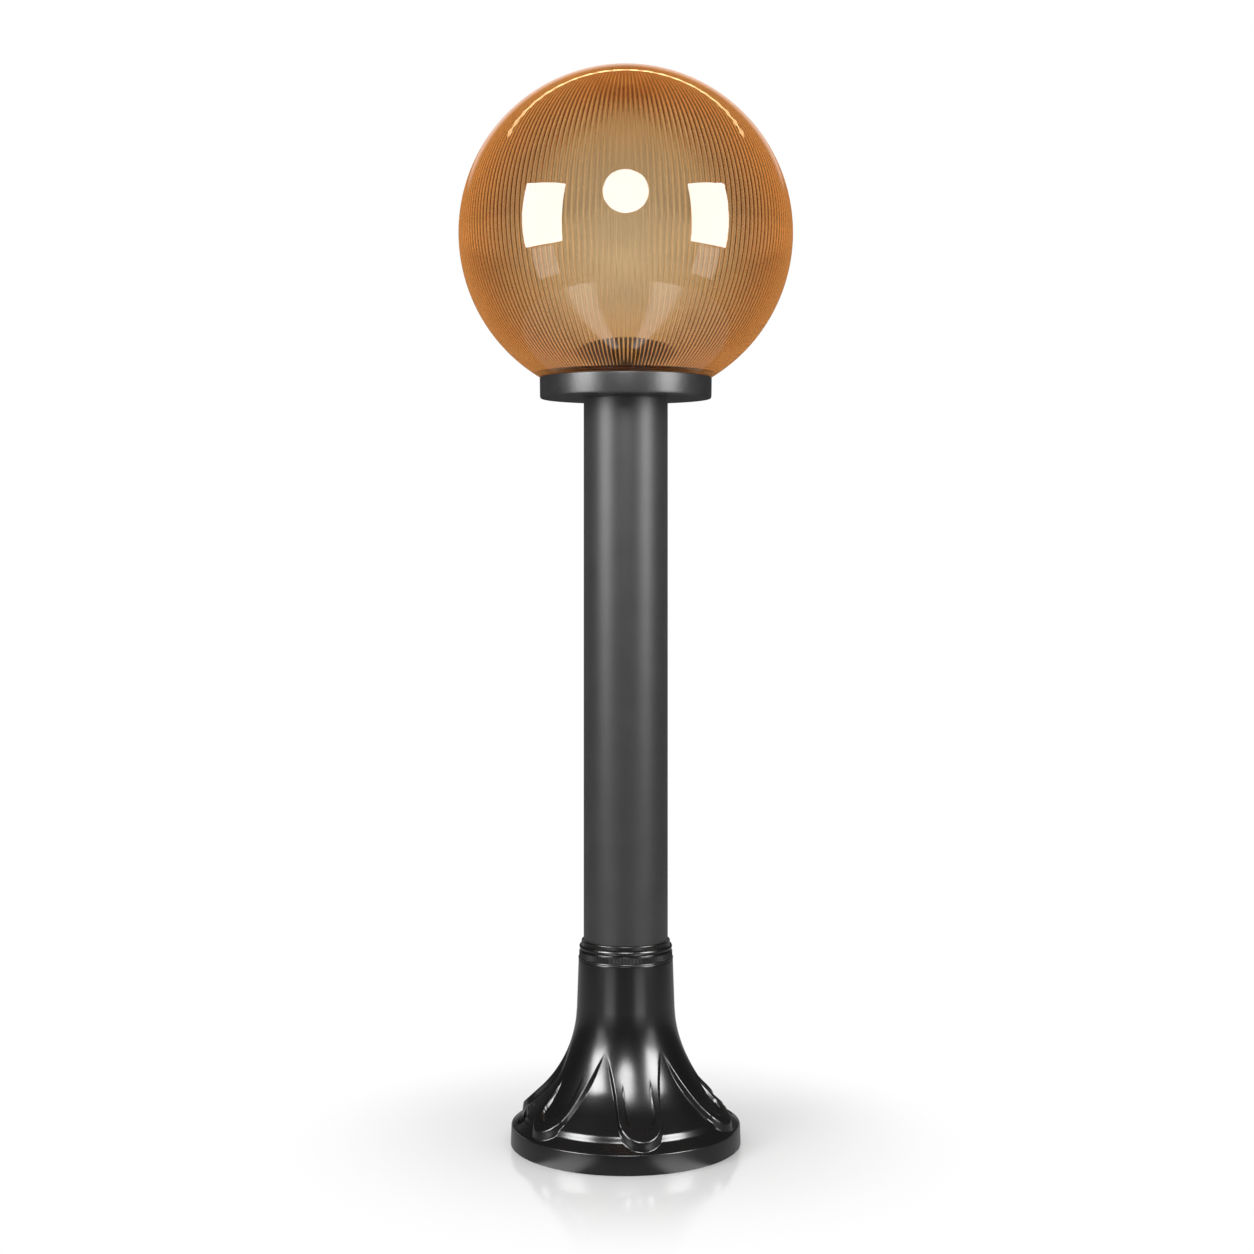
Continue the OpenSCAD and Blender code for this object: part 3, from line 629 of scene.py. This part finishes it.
    def relief(self) -> np.ndarray:
        """Works out the skirt, from the flare's start to the rim.

        The height is the panel's, raised to the leaf's inside a leaf's outline and lowered to
        the trough's inside the trough's, each over a rounded step about a millimetre wide.

        Returns:
            Rows x columns x 3.
        """
        top = float(self.flare(np.zeros(1), np.zeros(1))[0, 0])
        steps = ((top, 41, 7), (41, 47, 9), (47, 66, 24), (66, 74, 13), (74, 78.4, 13),
                 (78.4, 82, 8), (82, 84.6, 11))
        r = np.concatenate([np.linspace(a, b, n, endpoint=False) for a, b, n in steps]
                           + [[84.6]])
        half = self.columns(r)
        span = 2 * np.pi / self.leaves
        sector_angles = np.hstack([half, np.full((len(r), 1), span / 2),
                                   span - half[:, :0:-1]])
        turn = np.hstack([sector_angles + i * span for i in range(self.leaves)])
        local = np.hstack([sector_angles] * self.leaves)
        local = np.where(local > span / 2, local - span, local)
        x, y = r[:, None] * np.cos(local), np.abs(r[:, None] * np.sin(local))
        leaf_in = np.where(x > self.tip_centre,
                           self.leaf_half - np.hypot(x - self.tip_centre, y),
                           self.half_width(x) - y)
        leaf = np.where(r[:, None] < self.apex_r, 1.0, ease((leaf_in + 0.25) / 1.3))
        trough_in = np.where(x > self.trough_end,
                             self.trough_half - np.hypot(x - self.trough_end, y),
                             self.trough_half - y)
        trough = ease((trough_in + 0.7) / 1.6)
        panel_z, leaf_z, trough_z = (h[:, None] for h in self.profiles(r))
        high = leaf_z + trough * (trough_z - leaf_z)
        z = panel_z + leaf * (high - panel_z)
        turn = turn - math.pi / 2
        px, py = r[:, None] * np.cos(turn), r[:, None] * np.sin(turn)
        off = np.hypot(np.abs(px) - self.anchor_r, py)
        # The anchor screws' pockets and, inside them, their holes: each a wall 0.5 mm wide
        for edge, floor in ((6.25, 8.0), (3.5, 0.4)):
            z = z + np.clip((edge - off) / 0.5, 0, 1) * (floor - z)
        return np.stack([px, py, z], axis=-1)

    def shell(self) -> Surface:
        """Joins mouldings, neck, skirt, rim, hollow and socket.

        Returns:
            One closed surface.
        """
        skirt = self.relief()
        turn = np.arctan2(skirt[0, :, 1], skirt[0, :, 0])
        bead = self.neck_r - 0.6
        bore = self.socket_r
        above = np.vstack([
            [[bore, 112.0], [bore, 151.6], [32.0, 151.95], [32.4, self.height]],
            arc((32.2, 151.1), 0.9, 62, -10, 6), [[33.2, 149.3], [33.2, 148.9]],
            arc((bead - 2.3, 146.7), 2.3, 66, -66, 13), [[33.5, 144.1], [33.5, 139.4]],
            arc((self.neck_r - 0.8, 138.4), 1.0, 75, -50, 9), [[self.neck_r, 137.2]]])
        neck = self.flare(np.linspace(-40, -2, 9), np.zeros(9))
        neck = neck[neck[:, 1] < 136.5]
        below = np.vstack([
            arc((84.9, 13.9), 0.6, 50, 5, 3), [[85.98, 1.0]],
            arc((self.radius - 0.5, 0.5), 0.5, 0, -90, 4),
            [[81.5, 0.0], [81.0, 0.5], [81.0, 11.4], [73.4, 16.9]], self.hollow(),
            [[bore, 107.0], [4.4, 107.0], [4.4, 110.5], [bore, 110.5]]])
        return grid(np.concatenate([revolve(above, turn), revolve(neck, turn), skirt,
                                    revolve(below, turn)]), True).outward()

    def hollow(self) -> np.ndarray:
        """Follows the panels a wall's thickness inside, from the skirt up to the neck.

        Returns:
            Points (r, z) of the inner wall.
        """
        u = np.linspace(84, 0, 22)
        surface = np.linspace(0, 120, 1201)
        start = np.interp(self.apex_r, self.flare(surface, 0 * surface)[:, 0], surface)
        sunk = self.panel_depth * ease((u - start) / self.sink_run)
        points = self.flare(u, sunk + self.wall)
        return points[(points[:, 0] < 71.5) & (points[:, 0] > self.socket_r + 0.2)]

    def knurl(self) -> Surface:
        """Makes the band of small upright ribs: a ring whose radius swings once for each rib.

        Returns:
            The closed ring.
        """
        cols = self.knurl_count * 8
        turn = round_steps(cols)
        wave = 0.5 + 0.5 * np.cos(turn * self.knurl_count)
        rib = self.knurl_r + self.knurl_depth * wave ** 0.6
        z = np.array([139.2, 139.3, 139.6, 143.2, 143.5, 143.6])
        rounding = np.array([-0.5, 0.0, 0.0, 0.0, 0.0, -0.5])
        outer = rib + rounding[:, None]
        r = np.vstack([outer, np.full((2, cols), 33.0)])
        z = np.concatenate([z, [143.6, 139.2]])
        points = np.stack([r * np.cos(turn), r * np.sin(turn), z[:, None] + 0 * turn], -1)
        return grid(points, True).outward()

    def anchor_bosses(self) -> Surface:
        """Makes the two bosses under the anchor pockets.

        Returns:
            Two stepped tubes.
        """
        section = np.array([[3.25, 0], [9.6, 0], [9.6, 12.5], [6.4, 12.5], [6.4, 7.9],
                            [3.25, 7.9]])
        return lathe(section, 48, (self.anchor_r, 0)).join(
            lathe(section, 48, (-self.anchor_r, 0)))

    def build(self) -> bpy.types.Object:
        """Builds the foot and lets it stand for the CAD foot."""
        whole = self.shell().join(self.knurl()).join(self.anchor_bosses())
        return whole.build("foot_moulding", "foot_black", "foot")


# Post

@dataclass
class Post:
    """The drawn tube, with its cut ends broken by a small bevel."""

    outer_r: float = 31.5
    inner_r: float = 29.5
    low: float = 112.0
    high: float = 556.4
    bevel: float = 0.25

    def build(self) -> bpy.types.Object:
        """Builds the tube and lets it stand for the CAD tube.

        Returns:
            The piece.
        """
        b, rows = self.bevel, 24
        heights = np.linspace(self.low + 2, self.high - 2, rows)
        outer = np.stack([np.full(rows, self.outer_r), heights], 1)
        section = np.vstack([
            [[self.inner_r, self.low + b], [self.inner_r + b, self.low],
             [self.outer_r - b, self.low], [self.outer_r, self.low + b]], outer,
            [[self.outer_r, self.high - b], [self.outer_r - b, self.high],
             [self.inner_r + b, self.high], [self.inner_r, self.high - b]]])
        return lathe(section, 192).build("post_sleeve", "post_coat", "post_tube")


# Collar

@dataclass
class Collar:
    """The moulded collar: a dish whose spigot stands in the post, with bosses for the
    strap and ramps that hold the globe's lugs."""

    radius: float = 64.4
    low: float = 556.4
    high: float = 572.4
    bore_r: float = 61.6
    spigot_r: float = 29.3
    cup_r: float = 26.8

    def build(self) -> bpy.types.Object:
        """Builds the collar and lets it stand for the CAD collar.

        Returns:
            The piece.
        """
        section = np.vstack([
            [[4.4, 534.4], [self.spigot_r - 1.0, 534.4], [self.spigot_r, 535.4],
             [self.spigot_r, 557.9], [31.7, 557.9], [31.7, self.low], [62.6, self.low]],
            arc((63.0, self.low + 1.1), 1.1, -80, 0, 6),
            [[64.25, self.low + 2.2], [self.radius, self.high - 2.0]],
            arc((self.radius - 1.0, self.high - 1.0), 1.0, 0, 90, 7),
            arc((self.bore_r + 0.5, self.high - 0.5), 0.5, 90, 180, 4),
            [[self.bore_r, 560.4], [self.cup_r, 560.4], [self.cup_r, 538.4], [4.4, 538.4]]])
        whole = lathe(section, 256)
        boss = np.array([[1.75, 560.0], [4.55, 560.0], [4.55, 564.1], [4.25, 564.4],
                         [1.75, 564.4]])
        for side in (-38.0, 38.0):
            whole = whole.join(lathe(boss, 40, (side, 0)))
        for middle in LUG_DIRECTIONS:
            whole = whole.join(sector(58.8, 61.8, 564.7, 567.7, middle, 32))
        return whole.build("collar_moulding", "collar_grey", "collar")


# Globe

@dataclass
class Globe:
    """The moulded globe: smooth outside, with upright lens-shaped ribs inside, a shoulder
    on the collar, and a neck with three lugs."""

    radius: float = 125.0
    middle_z: float = 679.53
    root_r: float = 122.5
    rib_depth: float = 0.45
    rib_count: int = 180
    collar_top: float = 572.4
    neck_r: float = 58.5
    mouth_r: float = 55.5
    neck_low: float = 561.4
    outer_columns: int = 270
    inner_columns: int = 1080
    pole_angle: float = 0.012

    def outside(self) -> np.ndarray:
        """Works out the outer sphere, the shoulder's underside and the neck.

        Returns:
            Rows x columns x 3, from near the top pole down to the neck's lower edge.
        """
        end = math.acos((self.collar_top + 0.05 - self.middle_z) / self.radius)
        polar = np.linspace(self.pole_angle, end, 84)
        sphere = np.stack([self.radius * np.sin(polar),
                           self.middle_z + self.radius * np.cos(polar)], 1)
        neck = self.neck_r
        under = np.array([[64.0, self.collar_top], [neck + 0.7, self.collar_top],
                          [neck, self.collar_top - 0.5], [neck, self.neck_low + 0.6],
                          [neck - 0.6, self.neck_low]])
        return revolve(np.vstack([sphere, under]), round_steps(self.outer_columns))

    def inside(self) -> np.ndarray:
        """Works out the mouth, the shoulder's top and the ribbed inside.

        Each rib is a shallow lens: with t from -1 to 1 across it, the radius is the root's
        less the rib's depth times 1 - t t, so neighbours meet in a sharp valley. The depth
        fades near the top and where the shoulder begins.

        Returns:
            Rows x columns x 3, from the neck's lower edge up to near the top pole.
        """
        shoulder = self.collar_top + 3.0
        start = math.acos((shoulder + 1.6 - self.middle_z) / self.root_r)
        polar = np.linspace(start, self.pole_angle, 50)[:, None]
        turn = round_steps(self.inner_columns)
        across = np.mod(turn * self.rib_count / (2 * np.pi) + 1e-9, 1.0) * 2 - 1
        wave = 1 - across ** 2
        reach = self.root_r * np.sin(polar)
        fade = ease((reach - 18) / 26) * ease((start - polar) / 0.05)
        r = self.root_r - self.rib_depth * fade * wave
        ribbed = np.stack([r * np.sin(polar) * np.cos(turn), r * np.sin(polar) * np.sin(turn),
                           self.middle_z + r * np.cos(polar)], -1)
        mouth = np.array([[56.1, self.neck_low], [self.mouth_r, self.neck_low + 0.6],
                          [self.mouth_r, shoulder - 0.5], [56.0, shoulder],
                          [60.5, shoulder + 0.2]])
        return np.concatenate([revolve(mouth, turn), ribbed])

    def cap(self, surface: Surface, ring: np.ndarray, z: float) -> Surface:
        """Closes a ring of points with a fan to a pole on the axis.

        Args:
            surface: The surface that the ring is on.
            ring: Indices of the ring's points.
            z: The pole's height.

        Returns:
            The surface with its fan.
        """
        pole = len(surface.points)
        fan = np.stack([ring, np.roll(ring, -1), np.full(len(ring), pole)], 1)
        return Surface(np.vstack([surface.points, [[0, 0, z]]]), surface.quads,
                       np.vstack([surface.tris, fan]))

    def shell(self) -> Surface:
        """Joins outside and inside under the neck, where several inner columns meet one
        outer column, and closes both poles.

        Returns:
            The closed wall.
        """
        out, ins = self.outside(), self.inside()
        outer, inner = grid(out, False), grid(ins, False)
        whole = outer.join(inner)
        shift = len(outer.points)
        a = shift - self.outer_columns + np.arange(self.outer_columns)
        b = np.roll(a, -1)
        ratio = self.inner_columns // self.outer_columns
        c = shift + np.arange(self.inner_columns).reshape(-1, ratio)
        after = np.roll(c[:, 0], -1)
        c = np.hstack([c, after[:, None]])
        half = ratio // 2
        tris = [np.stack([a, c[:, k + 1], c[:, k]], 1) for k in range(half)]
        tris += [np.stack([b, c[:, k + 1], c[:, k]], 1) for k in range(half, ratio)]
        tris += [np.stack([a, b, c[:, half]], 1)]
        whole = Surface(whole.points, whole.quads, np.vstack(tris))
        whole = self.cap(whole, np.arange(self.outer_columns)[::-1],
                         self.middle_z + self.radius)
        last = shift + (len(ins) - 1) * self.inner_columns
        whole = self.cap(whole, last + np.arange(self.inner_columns),
                         self.middle_z + self.root_r)
        return whole.outward()

    def build(self) -> bpy.types.Object:
        """Builds the globe and lets it stand for the CAD globe.

        Returns:
            The piece.
        """
        whole = self.shell()
        for middle in LUG_DIRECTIONS:
            whole = whole.join(sector(self.neck_r + 0.02, self.neck_r + 2.5, self.neck_low,
                                      self.neck_low + 3, middle, 26))
        return whole.build("globe_shade", "globe_amber", "globe", crease=20)


# Studio

@dataclass
class Softbox:
    """A lamp, placed as it is seen from the middle of the globe.

    Attributes:
        name: Its name.
        azimuth: Degrees round the axis from the direction of -Y, towards +X.
        elevation: Degrees above the level of the globe's middle.
        width: Its width in metres.
        height: Its height in metres.
        radiance: Brightness of its mirror image, where white is 1.
        fill: Brightness with which it lights dull surfaces.
        shape: Blender's area shape.
        colour: sRGB hex of its light.
        distance: Metres from the globe's middle.
    """

    name: str
    azimuth: float
    elevation: float
    width: float
    height: float
    radiance: float
    fill: float = 0.0
    shape: str = "RECTANGLE"
    colour: str = "ffffff"
    distance: float = 1.2

    def build(self) -> None:
        """Adds the lamp, facing the globe: one for its mirror image, one for its fill."""
        area = self.width * self.height * (math.pi / 4 if self.shape == "DISK" else 1)
        a, e = math.radians(self.azimuth), math.radians(self.elevation)
        d = self.distance
        for kind, level in (("shine", self.radiance), ("fill", self.fill)):
            if level == 0:
                continue
            lamp = bpy.data.lights.new(f"{self.name}_{kind}", "AREA")
            lamp.shape, lamp.size, lamp.size_y = self.shape, self.width, self.height
            lamp.energy = level * area * math.pi
            lamp.color = linear(self.colour)[:3]
            light = bpy.data.objects.new(lamp.name, lamp)
            light.visible_diffuse = kind == "fill"
            light.visible_glossy = kind == "shine"
            light.visible_transmission = False
            light.location = (d * math.cos(e) * math.sin(a), -d * math.cos(e) * math.cos(a),
                              GLOBE_MIDDLE + d * math.sin(e))
            light.rotation_euler = (math.pi / 2 - e, 0, a)
            bpy.context.scene.collection.objects.link(light)


@dataclass
class Studio:
    """The pale floor, the backdrop, the lamps and the camera.

    Attributes:
        view_azimuth: Degrees round the axis from -Y, towards +X, where the camera stands.
        camera_away: Metres from the axis to the camera.
        camera_height: Metres from the ground to the level camera.
        focal_mm: Focal length of the lens.
        sensor_mm: Width of the sensor.
        shift: Shift of the lens, in widths of the frame.
        floor_r: Radius of the floor in millimetres.
        dull_level: Brightness of the world on dull surfaces.
        patches: Directions of the floor's painted glow patches, seen only in mirrors, in degrees
            from the camera's.
        window_shine: Brightness of the windows' and the disc's mirror images.
        card_shine: Brightness of the low cards' mirror images.
    """

    view_azimuth: float = -9.0
    camera_away: float = 1.552
    camera_height: float = 0.452
    focal_mm: float = 59.45
    sensor_mm: float = 36.0
    shift: tuple[float, float] = (0.001, -0.071)
    floor_r: float = 900.0
    dull_level: float = 0.85
    patches: tuple[float, float] = (-37.0, 33.0)
    window_shine: float = 19.5
    card_shine: float = 2.2

    def direction(self, side: float) -> tuple[float, float, float]:
        """Gives the level direction that lies some degrees round from the camera's.

        Args:
            side: The degrees, towards +X.

        Returns:
            A unit vector.
        """
        turn = math.radians(self.view_azimuth + side)
        return math.sin(turn), -math.cos(turn), 0.0

    def backdrop(self, tree: bpy.types.NodeTree, way: bpy.types.NodeSocket,
                 height: bpy.types.NodeSocket) -> bpy.types.NodeSocket:
        """Makes what rays meet that passed the globe.

        It is grey in level bands, brightest 7 degrees above the horizon and dimmest from 9
        to 11. Up to 9 degrees a dark upright card stands on either side of the middle, which
        draws the ribs; above, the backdrop dims towards both sides. Heights and distances
        from the middle are sines of angles.

        Args:
            tree: The world's tree.
            way: Each ray's direction.
            height: The direction's Z.

        Returns:
            The level.
        """
        across = add(tree, "VectorMath", {"operation": "DOT_PRODUCT", 1: self.direction(90)},
                     {0: way}).outputs["Value"]
        aside = add(tree, "Math", {"operation": "ABSOLUTE"}, {0: across}).outputs[0]
        bands, cards = (add(tree, "ValToRGB", links={0: place}) for place in (height, aside))
        for node, first, last, between in (
            (bands, (0.0, 1.0), (0.23, 1.0), (
                (0.107, 1.0), (0.113, 0.82), (0.119, 1.1), (0.129, 1.15), (0.134, 1.05),
                (0.141, 0.95), (0.158, 0.9), (0.163, 0.62), (0.194, 0.66), (0.203, 0.9))),
            (cards, (0.1, 1.0), (0.33, 1.0), ((0.13, 0.08), (0.25, 0.08))),
        ):
            stops = node.color_ramp.elements
            stops[0].position, stops[1].position = first[0], last[0]
            for place, _ in between:
                stops.new(place)
            for stop, (_, level) in zip(stops, (first, *between, last)):
                stop.color = (level, level, level, 1)
        above = add(tree, "MapRange", {"From Min": 0.15, "From Max": 0.42, "To Min": 0.9,
                                       "To Max": 0.2}, {"Value": aside}).outputs[0]
        low = add(tree, "MapRange", {"From Min": 0.157, "From Max": 0.165, "To Min": 1.0,
                                     "To Max": 0.1}, {"Value": height}).outputs[0]
        screen = add(tree, "Mix", links={0: low, 2: above, 3: cards.outputs[0]}).outputs[0]
        return add(tree, "Math", {"operation": "MULTIPLY"},
                   {0: bands.outputs[0], 1: screen}).outputs[0]

    def room(self, tree: bpy.types.NodeTree, way: bpy.types.NodeSocket,
             height: bpy.types.NodeSocket) -> bpy.types.NodeSocket:
        """Makes what mirrored rays meet: a dim room, and a bright wall high behind the post.

        Args:
            tree: The world's tree.
            way: Each ray's direction.
            height: The direction's Z.

        Returns:
            The level.
        """
        dim = add(tree, "MapRange", {"From Min": 0.1, "From Max": 0.2, "To Min": 0.07,
                                     "To Max": 0.05}, {"Value": height}).outputs[0]
        away = add(tree, "VectorMath", {"operation": "DOT_PRODUCT", 1: self.direction(180)},
                   {0: way}).outputs["Value"]
        behind = add(tree, "MapRange", {"From Min": 0.8, "From Max": 0.9},
                     {"Value": away}).outputs[0]
        raised = add(tree, "MapRange", {"From Min": 0.24, "From Max": 0.28},
                     {"Value": height}).outputs[0]
        wall = add(tree, "Math", {"operation": "MULTIPLY"}, {0: behind, 1: raised}).outputs[0]
        return add(tree, "Math", {"operation": "MAXIMUM"}, {0: dim, 1: wall}).outputs[0]

    def world(self) -> None:
        """Makes a world that is white to the camera, an even grey to diffuse rays, the room
        to mirrored rays and the backdrop to rays that passed the globe."""
        world = bpy.data.worlds.new("studio")
        bpy.context.scene.world = world
        world.use_nodes = True
        tree = world.node_tree
        tree.nodes.clear()
        way = add(tree, "TexCoord").outputs["Generated"]
        height = add(tree, "SeparateXYZ", links={0: way}).outputs["Z"]
        path = add(tree, "LightPath").outputs
        met = add(tree, "Mix", links={0: path["Transmission Depth"],
                                      2: self.room(tree, way, height),
                                      3: self.backdrop(tree, way, height)}).outputs[0]
        sharp = add(tree, "Math", {"operation": "MAXIMUM"},
                    {0: path["Is Glossy Ray"], 1: path["Is Transmission Ray"]}).outputs[0]
        level = add(tree, "Mix", {2: self.dull_level}, {0: sharp, 3: met}).outputs[0]
        seen = add(tree, "Mix", {3: 1.0}, {0: path["Is Camera Ray"], 2: level}).outputs[0]
        shade = add(tree, "Background", links={"Color": seen}).outputs[0]
        add(tree, "OutputWorld", links={"Surface": shade})

    def sweep(self) -> bpy.types.Material:
        """Makes the floor's white paper.

        To the camera it fades to plain white from 0.1 to 0.27 m off the axis. Past the foot,
        mirrored rays meet a painted glow in place of the paper: a dim emission with a bright
        emitting patch in front on either side, a painted reflection that draws the foot's
        highlights.

        Returns:
            The material.
        """
        material, tree = new_tree("white sweep")
        place = add(tree, "TexCoord").outputs["Object"]
        reach = add(tree, "VectorMath", {"operation": "LENGTH"}, {0: place}).outputs["Value"]
        way = add(tree, "VectorMath", {"operation": "NORMALIZE"}, {0: place}).outputs[0]
        path = add(tree, "LightPath").outputs
        grain = add(tree, "TexNoise", {"Scale": 900.0, "Detail": 2.0}, {"Vector": place})
        gloss = add(tree, "MapRange", {"To Min": 0.1, "To Max": 0.17},
                    {"Value": grain.outputs["Fac"]}).outputs[0]
        paper = add(tree, "BsdfPrincipled", {"Base Color": linear("fafafa"), "IOR": 1.5},
                    {"Roughness": gloss}).outputs[0]
        white = add(tree, "Emission").outputs[0]
        fade = add(tree, "MapRange", {"From Min": 0.1, "From Max": 0.27,
                                      "interpolation_type": "SMOOTHSTEP"},
                   {"Value": reach}).outputs[0]
        seen = add(tree, "Math", {"operation": "MULTIPLY"},
                   {0: fade, 1: path["Is Camera Ray"]}).outputs[0]
        faded = add(tree, "MixShader", links={0: seen, 1: paper, 2: white}).outputs[0]
        painted_glow_patches = []
        # Painted glow: two bright emitting patches on the floor, seen only by mirrored rays,
        # paint the foot's highlights
        for side in self.patches:
            along = add(tree, "VectorMath", {"operation": "DOT_PRODUCT",
                                             1: self.direction(side)}, {0: way})
            painted_glow_patches.append(add(tree, "MapRange", {"From Min": 0.965, "From Max": 0.995,
                                              "To Min": 0.18, "To Max": 2.2,
                                              "interpolation_type": "SMOOTHSTEP"},
                           {"Value": along.outputs["Value"]}).outputs[0])
        level = add(tree, "Math", {"operation": "ADD"}, {0: painted_glow_patches[0], 1: painted_glow_patches[1]}).outputs[0]
        # The painted glow's emission, which mirrored rays meet past the foot in place of the
        # paper
        shine = add(tree, "Emission", links={"Strength": level}).outputs[0]
        past = add(tree, "MapRange", {"From Min": 0.08, "From Max": 0.088},
                   {"Value": reach}).outputs[0]
        mirrored = add(tree, "Math", {"operation": "MULTIPLY"},
                       {0: past, 1: path["Is Glossy Ray"]}).outputs[0]
        whole = add(tree, "MixShader", links={0: mirrored, 1: faded, 2: shine}).outputs[0]
        add(tree, "OutputMaterial", links={"Surface": whole})
        return material

    def floor(self) -> None:
        """Lays the floor: rings of quads round a flat hub."""
        columns = 128
        r = np.linspace(20, self.floor_r, 24)
        disc = grid(revolve(np.stack([r, 0 * r], 1), round_steps(columns)), False)
        mesh = bpy.data.meshes.new("floor")
        mesh.from_pydata((disc.points * MM).tolist(), [],
                         disc.quads[:, ::-1].tolist() + [list(range(columns))])
        mesh.materials.append(self.sweep())
        floor = bpy.data.objects.new("floor", mesh)
        bpy.context.scene.collection.objects.link(floor)

    def lamps(self) -> None:
        """Hangs the lamps whose mirror images show on the globe and the post.

        The strips hang behind the post in an arch, strip i at 5.5 i degrees round and
        50 - 0.11 i i degrees up, and draw the thin line near the globe's top.
        """
        a, shine, card = self.view_azimuth, self.window_shine, self.card_shine
        strips = [Softbox(f"strip_{i}", a + 180 + 5.5 * i, 50 - 0.11 * i * i, 0.125, 0.05, 5.0,
                          colour="ffdda6") for i in range(-10, 11)]
        for lamp in (
            Softbox("softbox_left", a - 55.5, 7, 0.62, 0.75, shine, 4.5),
            Softbox("softbox_right", a + 56, 7, 0.58, 0.75, shine, 4.5),
            Softbox("round_front", a, 19, 0.6, 0.6, shine, 3.0, "DISK"),
            Softbox("card_left", a - 57, -20, 0.35, 0.36, card),
            Softbox("card_right", a + 57, -20, 0.35, 0.36, card),
            *strips,
        ):
            lamp.build()

    def camera(self) -> None:
        """Sets the level camera at the photograph's viewing angle."""
        data = bpy.data.cameras.new("camera")
        data.lens, data.sensor_width = self.focal_mm, self.sensor_mm
        data.shift_x, data.shift_y = self.shift
        camera = bpy.data.objects.new("camera", data)
        x, y, _ = self.direction(0)
        camera.location = (self.camera_away * x, self.camera_away * y, self.camera_height)
        camera.rotation_euler = (math.pi / 2, 0, math.radians(self.view_azimuth))
        bpy.context.scene.collection.objects.link(camera)
        bpy.context.scene.camera = camera

    def build(self) -> None:
        """Sets the whole studio."""
        bpy.context.scene.view_settings.view_transform = "Standard"
        self.world()
        self.floor()
        self.lamps()
        self.camera()


def dress_carried_nodes() -> None:
    """Gives each CAD node that stays in view its own finish."""
    slots = {part["node"]: part["material_slot"] for part in frame["record"]["subparts"]}
    for node, thing in frame["nodes"].items():
        material = material_of(slots[node])
        if not thing.material_slots:
            thing.data.materials.append(material)
        for part in thing.material_slots:
            part.material = material
        LOG.info("%s: dressed as %s", node, material.name)


def main() -> None:
    """Builds studio and pieces in order."""
    logging.basicConfig(level=logging.INFO, format="%(message)s")
    Studio().build()
    dress_carried_nodes()
    for part in (Foot(), Post(), Collar(), Globe()):
        part.build()


if __name__ == "__main__":
    main()
